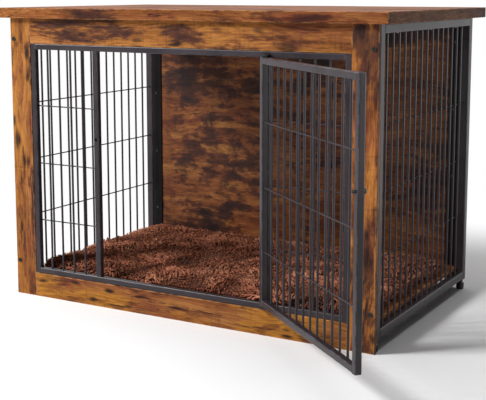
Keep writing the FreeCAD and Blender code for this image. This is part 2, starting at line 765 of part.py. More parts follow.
node(swing(group("door_pivot_bushes", bushes)))
for name, items in (("pivot_brackets", brackets), ("pivot_pins", pins), ("pivot_washers", washers)):
    fixed = node(group(name, items))
    locate(fixed, ("pivot_x", "pivot_y", "0"))


# Latch plunger: a rod through the free stile into the left mullion, with a low knob on the door's
# outer face. It is modelled pushed home.

latch_rod = rod("latch_rod", ALONG_Y, "latch_rod_diameter", "latch_tip - latch_base - latch_tip_length",
                ("latch_x", "latch_base", "latch_height"))
latch_point = doc.addObject("Part::Cone", "latch_point")
latch_knob = doc.addObject("Part::Cylinder", "latch_knob")
latch_dome = doc.addObject("Part::Cone", "latch_dome")
for item, turn, start_y in (
        (latch_point, ALONG_Y, "latch_tip - latch_tip_length"),
        (latch_knob, ALONG_MINUS_Y, "latch_base"),
        (latch_dome, ALONG_MINUS_Y, "latch_base + latch_knob_round - latch_knob_height")):
    item.Placement = FreeCAD.Placement(FreeCAD.Vector(), turn)
    locate(item, ("latch_x", start_y, "latch_height"))
bind(latch_point, Radius1="latch_rod_diameter / 2", Radius2="latch_tip_radius", Height="latch_tip_length")
bind(latch_knob, Radius="latch_knob_radius", Height="latch_knob_height - latch_knob_round")
bind(latch_dome, Radius1="latch_knob_radius", Radius2="latch_knob_radius - latch_knob_round",
     Height="latch_knob_round")
node(swing(fuse("latch_plunger", [latch_rod, latch_point, latch_knob, latch_dome])))
drill(door_stiles["door_free_stile"], "latch_hole", ALONG_Y, "latch_rod_diameter / 2 + latch_rod_clearance",
      "grille_tube + 2 * overrun", ("latch_x", "door_outer - overrun", "latch_height"))


# Check and export

doc.recompute()
faults = [f"{item.Name}: {item.State}" for item in doc.Objects
          if "Invalid" in item.State or "Error" in item.State]
for item in nodes:
    if item.Shape.isNull() or not item.Shape.isValid() or not item.Shape.Solids:
        faults.append(f"{item.Label}: no valid solid")
if faults:
    raise RuntimeError("; ".join(faults))

os.makedirs("parts", exist_ok=True)
for item in nodes:
    item.Shape.exportStep(f"parts/{item.Label}.step")
    print(f"{item.Label}: {len(item.Shape.Solids)} solids, {item.Shape.Volume:.0f} mm3")
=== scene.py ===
"""Looks of the wooden pet crate: finishes for its solids, a plush mat, weld spots and a studio stage.

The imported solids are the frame. Boards, tubes, rods and fasteners keep their own meshes and get
procedural finishes. The mat's solid gives way to a cloth pad with a pile of separate locks.
"""

from __future__ import annotations

import json
import logging
import math
import random
from dataclasses import dataclass, field, replace
from enum import Enum
from typing import Any, Iterable, Mapping, Sequence

import bmesh
import bpy
from mathutils import Matrix, Vector, noise
from mathutils.bvhtree import BVHTree

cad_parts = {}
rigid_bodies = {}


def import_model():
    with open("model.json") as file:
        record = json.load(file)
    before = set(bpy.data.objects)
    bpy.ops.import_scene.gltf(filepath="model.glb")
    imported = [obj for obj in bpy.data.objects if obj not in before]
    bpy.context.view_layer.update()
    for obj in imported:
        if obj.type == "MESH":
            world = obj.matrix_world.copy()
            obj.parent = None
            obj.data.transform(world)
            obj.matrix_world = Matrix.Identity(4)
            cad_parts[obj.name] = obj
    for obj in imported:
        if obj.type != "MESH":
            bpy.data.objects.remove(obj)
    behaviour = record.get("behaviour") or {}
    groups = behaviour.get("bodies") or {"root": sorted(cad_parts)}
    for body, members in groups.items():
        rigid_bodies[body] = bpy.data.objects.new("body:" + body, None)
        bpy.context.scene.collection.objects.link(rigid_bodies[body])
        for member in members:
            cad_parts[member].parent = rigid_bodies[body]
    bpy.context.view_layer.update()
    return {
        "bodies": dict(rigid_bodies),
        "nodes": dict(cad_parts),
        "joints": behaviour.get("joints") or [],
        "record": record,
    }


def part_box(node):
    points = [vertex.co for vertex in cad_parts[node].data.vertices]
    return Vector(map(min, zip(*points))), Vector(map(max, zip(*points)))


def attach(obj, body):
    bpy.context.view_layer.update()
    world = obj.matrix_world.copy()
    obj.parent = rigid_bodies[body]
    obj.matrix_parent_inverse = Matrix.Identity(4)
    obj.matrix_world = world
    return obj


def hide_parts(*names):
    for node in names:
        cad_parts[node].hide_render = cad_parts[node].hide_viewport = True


log = logging.getLogger("pet_crate")

Point = tuple[float, float, float]
Colour = tuple[float, float, float, float]
Object = bpy.types.Object
Socket = bpy.types.NodeSocket
BMesh = bmesh.types.BMesh

TIP_LAYER = "tip_share"
LEVEL = 1e-6
ORIGIN: Point = (0.0, 0.0, 0.0)
BLACK: Colour = (0.0, 0.0, 0.0, 1.0)
WHITE: Colour = (1.0, 1.0, 1.0, 1.0)


def paint(red: int, green: int, blue: int) -> Colour:
    """Scene-linear colour of an 8-bit display colour.

    Args:
        red: Red, from 0 to 255.
        green: Green, from 0 to 255.
        blue: Blue, from 0 to 255.

    Returns:
        The colour with an alpha of 1, as a shader socket takes it.
    """
    parts = []
    for part in (red, green, blue):
        share = part / 255
        parts.append(share / 12.92 if share <= 0.04045 else ((share + 0.055) / 1.055) ** 2.4)
    return parts[0], parts[1], parts[2], 1.0


def grey(level: float) -> Colour:
    """Neutral colour of a level."""
    return level, level, level, 1.0


class Body(Enum):
    """Moving bodies of the crate that new pieces ride on."""

    CRATE = "crate"
    DOOR = "door"


class Slot(Enum):
    """Material slots of the record."""

    STEEL = "powder_coated_steel"
    PLUSH = "plush"


class Grain(Enum):
    """Axis of the crate that a board's printed grain runs along, and the turn that lays it along X."""

    ALONG_X = (0.0, 0.0, 0.0)
    ALONG_Y = (0.0, 0.0, -math.pi / 2)
    ALONG_Z = (0.0, math.pi / 2, 0.0)


class Run(Enum):
    """Axis of a grille's own frame that its wires run along."""

    X = 0
    Y = 1


class Side(Enum):
    """Side of a grille's bars that its wires are on."""

    LOW = -1
    HIGH = 1


class Kind(Enum):
    """Kinds of socket that a node group has."""

    VECTOR = "NodeSocketVector"
    COLOUR = "NodeSocketColor"
    FLOAT = "NodeSocketFloat"


class NodeSheet:
    """Node tree that is filled node by node, in rows.

    Attributes:
        tree: The tree.
    """

    COLUMNS = 12
    COLUMN_WIDTH = 180
    ROW_HEIGHT = 220

    def __init__(self, tree: bpy.types.NodeTree) -> None:
        """Keeps the tree and drops the nodes that it starts with."""
        self.tree = tree
        tree.nodes.clear()

    def put(self, kind: str, sockets: Mapping[Any, Any] | None = None, **settings: Any) -> bpy.types.Node:
        """Places a node.

        Args:
            kind: Blender's name for the node's type.
            sockets: Input names or numbers with the value or the output socket that each gets.
            **settings: Properties of the node.

        Returns:
            The new node.
        """
        node = self.tree.nodes.new(kind)
        row, column = divmod(len(self.tree.nodes), self.COLUMNS)
        node.location = (self.COLUMN_WIDTH * column, -self.ROW_HEIGHT * row)
        for name, value in settings.items():
            setattr(node, name, value)
        for name, value in (sockets or {}).items():
            if isinstance(value, Socket):
                self.tree.links.new(value, node.inputs[name])
            else:
                node.inputs[name].default_value = value
        return node

    def spot(self) -> Socket:
        """Coordinate in the crate's frame."""
        return self.put("ShaderNodeTexCoord").outputs["Object"]

    def placed(self, vector: Socket, scale: Point = (1, 1, 1), turn: Point = ORIGIN,
               offset: Point = ORIGIN) -> Socket:
        """Turns, stretches and shifts a coordinate."""
        node = self.put("ShaderNodeMapping", {"Vector": vector, "Scale": scale, "Rotation": turn,
                                              "Location": offset})
        return node.outputs["Vector"]

    def noise(self, vector: Socket, scale: Any = 1.0, detail: float = 2.0, roughness: float = 0.5,
              output: str = "Fac") -> Socket:
        """Fractal noise at a coordinate."""
        node = self.put("ShaderNodeTexNoise", {"Vector": vector, "Scale": scale, "Detail": detail,
                                               "Roughness": roughness})
        return node.outputs[output]

    def span(self, value: Socket, low: float, high: float, start: float = 0.0, end: float = 1.0) -> Socket:
        """Smooth step of a value, from start at low to end at high."""
        node = self.put("ShaderNodeMapRange", {"Value": value, "From Min": low, "From Max": high,
                                               "To Min": start, "To Max": end},
                        interpolation_type="SMOOTHSTEP")
        return node.outputs["Result"]

    def calc(self, operation: str, *values: Any) -> Socket:
        """One arithmetic step on values."""
        return self.put("ShaderNodeMath", dict(enumerate(values)), operation=operation).outputs[0]

    def times(self, first: Any, second: Any) -> Socket:
        """Product of two values."""
        return self.calc("MULTIPLY", first, second)

    def shared(self, share: float, first: Socket, second: Socket) -> Socket:
        """Sum of a share of one value and the rest of another."""
        return self.calc("ADD", self.times(first, share), self.times(second, 1 - share))

    def vector(self, operation: str, *values: Any) -> Socket:
        """One step on vectors."""
        return self.put("ShaderNodeVectorMath", dict(enumerate(values)), operation=operation).outputs[0]

    def mix(self, share: Any, first: Any, second: Any, blend: str = "MIX") -> Socket:
        """Blend of two colours."""
        node = self.put("ShaderNodeMix", {0: share, 6: first, 7: second}, data_type="RGBA", blend_type=blend)
        return node.outputs[2]

    def ramp(self, value: Socket, stops: Sequence[tuple[float, Colour]]) -> Socket:
        """Colour that runs through stops as a value rises.

        Args:
            value: The value.
            stops: Place and colour of each stop.

        Returns:
            The colour.
        """
        node = self.put("ShaderNodeValToRGB", {"Fac": value})
        elements = node.color_ramp.elements
        while len(elements) < len(stops):
            elements.new(0.5)
        for element, (place, colour) in zip(elements, stops):
            element.position = place
            element.color = colour
        return node.outputs["Color"]

    def bump(self, height: Socket, strength: float, depth: float) -> Socket:
        """Normal that a height bumps."""
        node = self.put("ShaderNodeBump", {"Height": height, "Strength": strength, "Distance": depth})
        return node.outputs["Normal"]


class EffectGroup:
    """Shader node group of one effect, built once and placed in each finish that shows it.

    Attributes:
        name: Name of the group.
        inputs: Name, kind and default of each input.
        outputs: Name and kind of each output.
    """

    name = "effect"
    inputs: Sequence[tuple[str, Kind, Any]] = ()
    outputs: Sequence[tuple[str, Kind]] = ()

    def __init__(self) -> None:
        """Builds the group's sockets and its nodes."""
        self.tree = bpy.data.node_groups.new(self.name, "ShaderNodeTree")
        for label, kind, default in self.inputs:
            socket = self.tree.interface.new_socket(label, in_out="INPUT", socket_type=kind.value)
            if default is not None:
                socket.default_value = default
        for label, kind in self.outputs:
            self.tree.interface.new_socket(label, in_out="OUTPUT", socket_type=kind.value)
        sheet = NodeSheet(self.tree)
        entry = sheet.put("NodeGroupInput")
        sheet.put("NodeGroupOutput", self.fill(sheet, entry.outputs))

    def fill(self, sheet: NodeSheet, entry: Any) -> Mapping[str, Socket]:
        """Adds the effect's nodes.

        Args:
            sheet: Sheet of the group's tree.
            entry: The group's inputs.

        Returns:
            What feeds each output.
        """
        raise NotImplementedError

    def place(self, sheet: NodeSheet, sockets: Mapping[Any, Any]) -> Any:
        """Puts the group into a material and gives back its output sockets."""
        return sheet.put("ShaderNodeGroup", sockets, node_tree=self.tree).outputs


@dataclass(frozen=True)
class Layer:
    """One layer of fractal noise along a grain.

    Attributes:
        waves: Waves in a metre, along the grain and across it both ways.
        detail: Octaves of finer noise.
        roughness: Strength of each finer octave.
        offset: Shift that keeps the layer apart from the others.
    """

    waves: Point
    detail: float
    roughness: float
    offset: Point = ORIGIN

    def lay(self, sheet: NodeSheet, vector: Socket) -> Socket:
        """Level of the layer at a coordinate."""
        placed = sheet.placed(vector, self.waves, offset=self.offset)
        return sheet.noise(placed, 1.0, self.detail, self.roughness)


class RusticPrint(EffectGroup):
    """Printed rustic wood: streaks along the grain, burnt patches, knots, cracks and saw marks.

    A span holds the two values that a smooth step runs between, and the levels it runs to, if not 0 and 1.
    """

    name = "rustic_wood_print"
    inputs = (("Vector", Kind.VECTOR, None), ("Patches", Kind.FLOAT, 0.5), ("Gold", Kind.FLOAT, 0.5),
              ("Knots", Kind.FLOAT, 0.5), ("Shade", Kind.COLOUR, WHITE))
    outputs = (("Color", Kind.COLOUR), ("Roughness", Kind.FLOAT), ("Height", Kind.FLOAT))

    STREAKS = ((0.30, paint(104, 54, 36)), (0.42, paint(150, 82, 50)), (0.53, paint(184, 112, 66)),
               (0.66, paint(218, 148, 82)))
    FIBRE_TINTS = ((0.30, paint(176, 168, 160)), (0.60, paint(255, 255, 255)))
    GOLD = paint(226, 152, 62)
    RUSSET = paint(110, 55, 38)
    BURNT = paint(72, 41, 36)
    CHAR = paint(37, 25, 27)

    # Waves in a metre and width of each sway of the grain.
    SWAYS = (((2.6, 8, 8), 0.05), ((11, 34, 34), 0.012))
    SWAY_ALONG = 0.4
    BANDS = Layer((3.2, 44, 44), 6.0, 0.64)
    FIBRE = Layer((16, 430, 430), 3.0, 0.6)
    ZONES = Layer((3.0, 7, 7), 3.0, 0.5, (0.6, 4.3, 1.8))
    BLOTS = Layer((8.5, 20, 20), 7.0, 0.66, (3.1, 1.7, 0.4))
    SPOTS = Layer((13, 46, 46), 6.0, 0.66, (5.7, 0.3, 2.2))
    HINTS = Layer((4.2, 12, 12), 5.0, 0.6, (7.3, 2.9, 5.1))
    SLITS = Layer((8.5, 120, 120), 3.0, 0.6, (1.9, 6.1, 2.3))
    SAW = Layer((190, 5, 5), 2.0, 0.5)

    GOLD_SPAN = (0.38, 0.58)
    RUSSET_SPAN = (0.50, 0.64, 0.0, 0.7)
    # Level at which a patch starts, and how far a full share of patches lowers it.
    PATCH_LEVEL, PATCH_DROP = 0.66, 0.2
    # Shares of zones, spots and bands in a patch's ragged outline.
    ZONE_SHARE, SPOT_SHARE, BAND_SHARE = 0.62, 0.3, -0.25
    BURN_SPAN, BURN = (-0.03, 0.06), 0.85
    CHAR_SPAN = (0.05, 0.14, 0.0, 0.85)
    SLIT_SPAN, SLIT_PLACES, SLIT = (0.40, 0.33), (0.42, 0.54), 0.85
    SAW_SPAN, SAW_PLACES, SAWN = (0.56, 0.66), (0.42, 0.56), 0.24
    ROUGH_SPAN, BURNT_ROUGH = (0.3, 0.7, 0.54, 0.44), 0.08
    SAW_HEIGHT, SLIT_DEPTH = 0.25, 0.8
    # Scale, rarity and radius of each size of knot, the mosaic they are picked from, and a knot's dark core.
    KNOTS = ((1.0, 0.72, 0.26), (3.0, 0.78, 0.44))
    KNOT_CELLS, KNOT_CORE = (6.5, 17, 17), 0.3

    def fill(self, sheet: NodeSheet, entry: Any) -> Mapping[str, Socket]:
        """Adds the print's nodes. X of the vector runs along the grain.

        Args:
            sheet: Sheet of the group's tree.
            entry: The group's inputs.

        Returns:
            What feeds each output.
        """
        line = entry["Vector"]
        for waves, reach in self.SWAYS:
            line = self.swayed(sheet, line, waves, reach)
        layers = (self.BANDS, self.FIBRE, self.BLOTS, self.SPOTS)
        bands, fibre, blots, spots = (layer.lay(sheet, line) for layer in layers)

        colour = sheet.ramp(bands, self.STREAKS)
        golden = sheet.times(sheet.span(self.HINTS.lay(sheet, line), *self.GOLD_SPAN), entry["Gold"])
        colour = sheet.mix(golden, colour, self.GOLD)
        colour = sheet.mix(1.0, colour, sheet.ramp(fibre, self.FIBRE_TINTS), "MULTIPLY")
        colour = sheet.mix(sheet.span(spots, *self.RUSSET_SPAN), colour, self.RUSSET)

        edge = sheet.calc("SUBTRACT", self.PATCH_LEVEL, sheet.times(entry["Patches"], self.PATCH_DROP))
        ragged = sheet.shared(self.ZONE_SHARE, self.ZONES.lay(sheet, line), blots)
        for level, share in ((spots, self.SPOT_SHARE), (bands, self.BAND_SHARE)):
            ragged = sheet.calc("ADD", ragged, sheet.times(sheet.calc("SUBTRACT", level, 0.5), share))
        past = sheet.calc("SUBTRACT", ragged, edge)
        burn = sheet.span(past, *self.BURN_SPAN)
        colour = sheet.mix(sheet.times(burn, self.BURN), colour, self.BURNT)
        colour = sheet.mix(sheet.span(past, *self.CHAR_SPAN), colour, self.CHAR)

        slit = sheet.times(sheet.span(self.SLITS.lay(sheet, line), *self.SLIT_SPAN),
                           sheet.span(spots, *self.SLIT_PLACES))
        colour = sheet.mix(sheet.times(slit, self.SLIT), colour, self.CHAR)
        for scale, rarity, reach in self.KNOTS:
            knot = self.knots(sheet, line, scale, rarity, reach)
            colour = sheet.mix(sheet.times(knot, entry["Knots"]), colour, self.CHAR)

        saw = self.SAW.lay(sheet, entry["Vector"])
        sawn = sheet.times(sheet.span(saw, *self.SAW_SPAN), sheet.span(blots, *self.SAW_PLACES))
        colour = sheet.mix(sheet.times(sawn, self.SAWN), colour, self.BURNT)
        colour = sheet.mix(1.0, colour, entry["Shade"], "MULTIPLY")

        rough = sheet.calc("ADD", sheet.span(fibre, *self.ROUGH_SPAN), sheet.times(burn, self.BURNT_ROUGH))
        raised = sheet.calc("ADD", fibre, sheet.times(saw, self.SAW_HEIGHT))
        height = sheet.calc("SUBTRACT", raised, sheet.times(slit, self.SLIT_DEPTH))
        return {"Color": colour, "Roughness": rough, "Height": height}

    def swayed(self, sheet: NodeSheet, vector: Socket, waves: Point, reach: float) -> Socket:
        """Pushes a coordinate to and fro across the grain.

        Args:
            sheet: Sheet of the group's tree.
            vector: The coordinate.
            waves: Waves of the push in a metre along each axis.
            reach: Width of the push, in metres.

        Returns:
            The pushed coordinate.
        """
        drift = sheet.noise(sheet.placed(vector, waves), output="Color")
        push = sheet.vector("SUBTRACT", drift, (0.5, 0.5, 0.5))
        push = sheet.vector("MULTIPLY", push, (reach * self.SWAY_ALONG, reach, reach))
        return sheet.vector("ADD", vector, push)

    def knots(self, sheet: NodeSheet, line: Socket, scale: float, rarity: float, reach: float) -> Socket:
        """Mask of the knots: a few cells of a mosaic that is long with the grain.

        Args:
            sheet: Sheet of the group's tree.
            line: Coordinate along the grain.
            scale: How many times smaller than the largest knots these are.
            rarity: Share of the cells that stay bare.
            reach: Radius of a knot, in cells.

        Returns:
            The mask.
        """
        spread = sheet.placed(line, self.KNOT_CELLS)
        cells = sheet.put("ShaderNodeTexVoronoi", {"Vector": spread, "Scale": scale})
        pick = sheet.put("ShaderNodeSeparateColor", {"Color": cells.outputs["Color"]})
        chosen = sheet.calc("GREATER_THAN", pick.outputs[0], rarity)
        return sheet.times(sheet.span(cells.outputs["Distance"], reach, self.KNOT_CORE * reach), chosen)


class CoatPeel(EffectGroup):
    """Baked powder coat: fine orange peel and a faint unevenness of tone."""

    name = "powder_coat_peel"
    inputs = (("Vector", Kind.VECTOR, None), ("Dark", Kind.COLOUR, BLACK), ("Light", Kind.COLOUR, BLACK),
              ("Grain", Kind.FLOAT, 900.0))
    outputs = (("Color", Kind.COLOUR), ("Roughness", Kind.FLOAT), ("Height", Kind.FLOAT))

    # Waves in a metre, detail and roughness of the uneven tone.
    CLOUD = (14.0, 3.0, 0.55)
    PEEL_SHARE = 0.35
    TONE_SPAN = (0.35, 0.65)
    ROUGH_SPAN = (0.3, 0.7, 0.27, 0.38)

    def fill(self, sheet: NodeSheet, entry: Any) -> Mapping[str, Socket]:
        """Adds the coat's nodes.

        Args:
            sheet: Sheet of the group's tree.
            entry: The group's inputs.

        Returns:
            What feeds each output.
        """
        peel = sheet.noise(entry["Vector"], entry["Grain"])
        tone = sheet.shared(self.PEEL_SHARE, peel, sheet.noise(entry["Vector"], *self.CLOUD))
        colour = sheet.mix(sheet.span(tone, *self.TONE_SPAN), entry["Dark"], entry["Light"])
        return {"Color": colour, "Roughness": sheet.span(tone, *self.ROUGH_SPAN), "Height": peel}


class EdgeHighlight(EffectGroup):
    """Painted highlight along the edges of a board or tube: a broken pale line along each edge of the box
    that it fills.
    """

    name = "painted_edge_highlight"
    inputs = (("Vector", Kind.VECTOR, None), ("Middle", Kind.VECTOR, ORIGIN),
              ("Half", Kind.VECTOR, (1, 1, 1)), ("Width", Kind.FLOAT, 0.002))
    outputs = (("Mask", Kind.FLOAT),)

    LINE_SPAN = (1.0, 0.2)
    # Waves in a metre, detail and roughness of the breaks in the line.
    BREAKS = (45.0, 4.0, 0.65)
    BREAK_SPAN = (0.40, 0.62)

    def fill(self, sheet: NodeSheet, entry: Any) -> Mapping[str, Socket]:
        """Adds the nodes. At an edge, the second smallest distance to the box's faces is near zero.

        Args:
            sheet: Sheet of the group's tree.
            entry: The group's inputs.

        Returns:
            What feeds each output.
        """
        offset = sheet.vector("SUBTRACT", entry["Vector"], entry["Middle"])
        depth = sheet.vector("SUBTRACT", entry["Half"], sheet.vector("ABSOLUTE", offset))
        first, second, third = sheet.put("ShaderNodeSeparateXYZ", {0: depth}).outputs
        nearer = sheet.calc("MINIMUM", first, second)
        farther = sheet.calc("MAXIMUM", first, second)
        median = sheet.calc("MAXIMUM", nearer, sheet.calc("MINIMUM", farther, third))
        line = sheet.span(sheet.calc("DIVIDE", median, entry["Width"]), *self.LINE_SPAN)
        breaks = sheet.span(sheet.noise(entry["Vector"], *self.BREAKS), *self.BREAK_SPAN)
        return {"Mask": sheet.times(line, breaks)}


class PlushTone(EffectGroup):
    """Brown of the plush, from swirl to swirl and from hair to hair."""

    name = "plush_tone"
    inputs = (("Vector", Kind.VECTOR, None), ("Deep", Kind.COLOUR, BLACK), ("Middle", Kind.COLOUR, BLACK),
              ("Crest", Kind.COLOUR, BLACK), ("Hair", Kind.FLOAT, 420.0))
    outputs = (("Color", Kind.COLOUR), ("Height", Kind.FLOAT))

    # Waves in a metre, detail and roughness of the swirls, and the last two for the hairs.
    SWIRLS = (18.0, 4.0, 0.6)
    HAIRS = (2.0, 0.6)
    SWIRL_SHARE = 0.62
    MIDDLE_SPAN = (0.34, 0.48)
    CREST_SPAN = (0.48, 0.64)

    def fill(self, sheet: NodeSheet, entry: Any) -> Mapping[str, Socket]:
        """Adds the tone's nodes.

        Args:
            sheet: Sheet of the group's tree.
            entry: The group's inputs.

        Returns:
            What feeds each output.
        """
        hair = sheet.noise(entry["Vector"], entry["Hair"], *self.HAIRS)
        tone = sheet.shared(self.SWIRL_SHARE, sheet.noise(entry["Vector"], *self.SWIRLS), hair)
        colour = sheet.mix(sheet.span(tone, *self.MIDDLE_SPAN), entry["Deep"], entry["Middle"])
        colour = sheet.mix(sheet.span(tone, *self.CREST_SPAN), colour, entry["Crest"])
        return {"Color": colour, "Height": hair}


@dataclass
class Effects:
    """The node groups that the finishes share."""

    wood: RusticPrint = field(default_factory=RusticPrint)
    # Painted highlight along the edges of boards and tubes.
    edge_highlight: EdgeHighlight = field(default_factory=EdgeHighlight)
    peel: CoatPeel = field(default_factory=CoatPeel)
    plush: PlushTone = field(default_factory=PlushTone)


@dataclass(frozen=True)
class HighlightLine:
    """Painted highlight along edges.

    Attributes:
        tone: Colour of the painted highlight.
        strength: How clearly it shows.
        width: Width of the highlighted line.
    """

    tone: Colour
    strength: float
    width: float


@dataclass(frozen=True)
class OwnBox:
    """Box that a solid fills, upright in a frame of its own.

    Attributes:
        low: Lowest corner.
        high: Highest corner.
        turn: Turn about Z from its own frame to the crate's.
        pivot: Where its own frame has its origin.
    """

    low: Point = ORIGIN
    high: Point = ORIGIN
    turn: float = 0.0
    pivot: Point = ORIGIN

    @classmethod
    def of(cls, solid: Object, turn: float = 0.0, pivot: Point = ORIGIN) -> OwnBox:
        """Measures a solid.

        Args:
            solid: The solid.
            turn: Turn about Z from its own frame to the crate's.
            pivot: Where its own frame has its origin.

        Returns:
            Its box.
        """
        back = cls(turn=turn, pivot=pivot).stand().inverted()
        axes = list(zip(*(back @ vertex.co for vertex in solid.data.vertices)))
        return cls(tuple(map(min, axes)), tuple(map(max, axes)), turn, pivot)

    def stand(self) -> Matrix:
        """Way from the box's own frame to the crate's."""
        return Matrix.Translation(self.pivot) @ Matrix.Rotation(self.turn, 4, "Z")

    def with_edge_highlight(self, sheet: NodeSheet, effects: Effects, place: Socket, colour: Socket, highlight: HighlightLine) -> Socket:
        """Paints a highlight along the box's edges.

        Args:
            sheet: Sheet of the material's tree.
            effects: Node groups to draw on.
            place: Coordinate in the crate's frame.
            colour: The colour.
            highlight: The painted highlight.

        Returns:
            The colour with the painted highlight on its edges.
        """
        back = self.stand().inverted()
        own = sheet.placed(place, turn=(0.0, 0.0, -self.turn), offset=tuple(back.translation))
        middle = tuple((low + high) / 2 for low, high in zip(self.low, self.high))
        half = tuple((high - low) / 2 for low, high in zip(self.low, self.high))
        edges = effects.edge_highlight.place(sheet, {"Vector": own, "Middle": middle, "Half": half, "Width": highlight.width})
        # Painted highlight: the pale line is mixed in where the mask finds an edge.
        return sheet.mix(sheet.times(edges["Mask"], highlight.strength), colour, highlight.tone)


@dataclass(frozen=True)
class Finish:
    """Surface of a piece.

    Attributes:
        name: Name of the material.
    """

    name: str

    def make(self, effects: Effects) -> bpy.types.Material:
        """Builds the material.

        Args:
            effects: Node groups to draw on.

        Returns:
            A material with a shader of its own.
        """
        material = bpy.data.materials.new(self.name)
        material.use_nodes = True
        sheet = NodeSheet(material.node_tree)
        shader = sheet.put("ShaderNodeBsdfPrincipled", self.feed(sheet, effects, sheet.spot()))
        sheet.put("ShaderNodeOutputMaterial", {"Surface": shader.outputs["BSDF"]})
        return material

    def feed(self, sheet: NodeSheet, effects: Effects, place: Socket) -> Mapping[str, Any]:
        """Works out what the shader gets. Each finish has its own way.

        Args:
            sheet: Sheet of the material's tree.
            effects: Node groups to draw on.
            place: Coordinate in the crate's frame.

        Returns:
            Value or socket for each of the shader's inputs that is set.
        """
        raise NotImplementedError


@dataclass(frozen=True)
class WoodPrint(Finish):
    """Printed board.

    Attributes:
        grain: Axis that the grain runs along.
        seed: Shift that gives the board its own piece of the print.
        patches: How much of it is burnt dark.
        gold: How much of it is golden.
        knots: How dark its knots are.
        shade: Level of the whole print.
        banded: Whether a band with a grain of its own covers the board's ends, darkened with painted shade.
        shine: How strongly the print's lacquer mirrors.
        squeeze: How many times shorter along the grain than usual its marks are.
        box: Box that the board fills.
    """

    grain: Grain = Grain.ALONG_X
    seed: float = 0.0
    patches: float = 0.5
    gold: float = 0.5
    knots: float = 0.5
    shade: float = 1.0
    banded: bool = False
    shine: float = 0.1
    squeeze: float = 1.0
    box: OwnBox = OwnBox()

    SEED_STEP = (1.73, 0.91, 0.37)
    BAND_THICKNESS = 0.0009
    # Painted shade on the band: the ends are darkened to the level of a side that faces away from the light.
    END_PAINTED_SHADE = 0.5
    # Painted highlight: a pale broken line along the board's edges, where its bevels would catch light.
    EDGE_HIGHLIGHT = HighlightLine(paint(206, 150, 100), 0.5, 0.0026)
    RELIEF = (0.22, 0.0006)

    def feed(self, sheet: NodeSheet, effects: Effects, place: Socket) -> Mapping[str, Any]:
        """Lays the print along the board and paints a highlight along its edges.

        Args:
            sheet: Sheet of the material's tree.
            effects: Node groups to draw on.
            place: Coordinate in the crate's frame.

        Returns:
            What the shader gets.
        """
        offset = tuple(self.seed * step for step in self.SEED_STEP)
        vector = sheet.placed(place, turn=self.grain.value, offset=offset)
        shade: Any = grey(self.shade)
        if self.banded:
            across = sheet.placed(place, turn=Grain.ALONG_Y.value, offset=offset)
            reach = sheet.calc("ABSOLUTE", sheet.put("ShaderNodeSeparateXYZ", {0: place}).outputs["X"])
            end = sheet.calc("GREATER_THAN", reach, self.box.high[0] - self.BAND_THICKNESS)
            vector = sheet.put("ShaderNodeMix", {0: end, 4: vector, 5: across}, data_type="VECTOR").outputs[1]
            # Painted shade: the band over the ends is darker than the rest of the print.
            shade = sheet.mix(end, shade, grey(self.shade * self.END_PAINTED_SHADE))
        vector = sheet.placed(vector, (self.squeeze, 1, 1))
        pattern = effects.wood.place(sheet, {"Vector": vector, "Patches": self.patches, "Gold": self.gold,
                                             "Knots": self.knots, "Shade": shade})
        return {"Base Color": self.box.with_edge_highlight(sheet, effects, place, pattern["Color"], self.EDGE_HIGHLIGHT),
                "Roughness": pattern["Roughness"], "Specular IOR Level": self.shine,
                "Normal": sheet.bump(pattern["Height"], *self.RELIEF)}


@dataclass(frozen=True)
class PowderCoat(Finish):
    """Satin coat on steel or moulded plastic.

    Attributes:
        dark: Darkest tone.
        light: Lightest tone.
        grain: Grains of the peel in a metre.
        relief: Strength of the peel.
        shine: How strongly it mirrors.
        box: Box whose edges get a painted highlight, on a tube.
    """

    dark: Colour = paint(35, 29, 33)
    light: Colour = paint(51, 43, 48)
    grain: float = 900.0
    relief: float = 0.12
    shine: float = 0.3
    box: OwnBox | None = None

    # Painted highlight: a pale broken line along a tube's edges, where its rounded corners catch light.
    EDGE_HIGHLIGHT = HighlightLine(paint(128, 120, 124), 0.4, 0.0022)
    PEEL_DEPTH = 0.0003

    def feed(self, sheet: NodeSheet, effects: Effects, place: Socket) -> Mapping[str, Any]:
        """Sprays the coat and paints a highlight along a tube's edges.

        Args:
            sheet: Sheet of the material's tree.
            effects: Node groups to draw on.
            place: Coordinate in the crate's frame.

        Returns:
            What the shader gets.
        """
        coat = effects.peel.place(sheet, {"Vector": place, "Dark": self.dark, "Light": self.light,
                                          "Grain": self.grain})
        colour = coat["Color"]
        if self.box:
            colour = self.box.with_edge_highlight(sheet, effects, place, colour, self.EDGE_HIGHLIGHT)
        return {"Base Color": colour, "Roughness": coat["Roughness"], "Specular IOR Level": self.shine,
                "Normal": sheet.bump(coat["Height"], self.relief, self.PEEL_DEPTH)}


@dataclass(frozen=True)
class BlackZinc(Finish):
    """Dark passivated plating of the wood screws."""

    CLOUD = (160.0, 4.0, 0.6)
    TONES = ((0.3, paint(58, 58, 60)), (0.7, paint(84, 84, 86)))
    ROUGH_SPAN = (0.3, 0.7, 0.42, 0.28)
    RELIEF = (0.1, 0.0002)

    def feed(self, sheet: NodeSheet, effects: Effects, place: Socket) -> Mapping[str, Any]:
        """Clouds the plating and brushes it lightly."""
        cloud = sheet.noise(place, *self.CLOUD)
        return {"Base Color": sheet.ramp(cloud, self.TONES), "Roughness": sheet.span(cloud, *self.ROUGH_SPAN),
                "Metallic": 1.0, "Normal": sheet.bump(cloud, *self.RELIEF)}


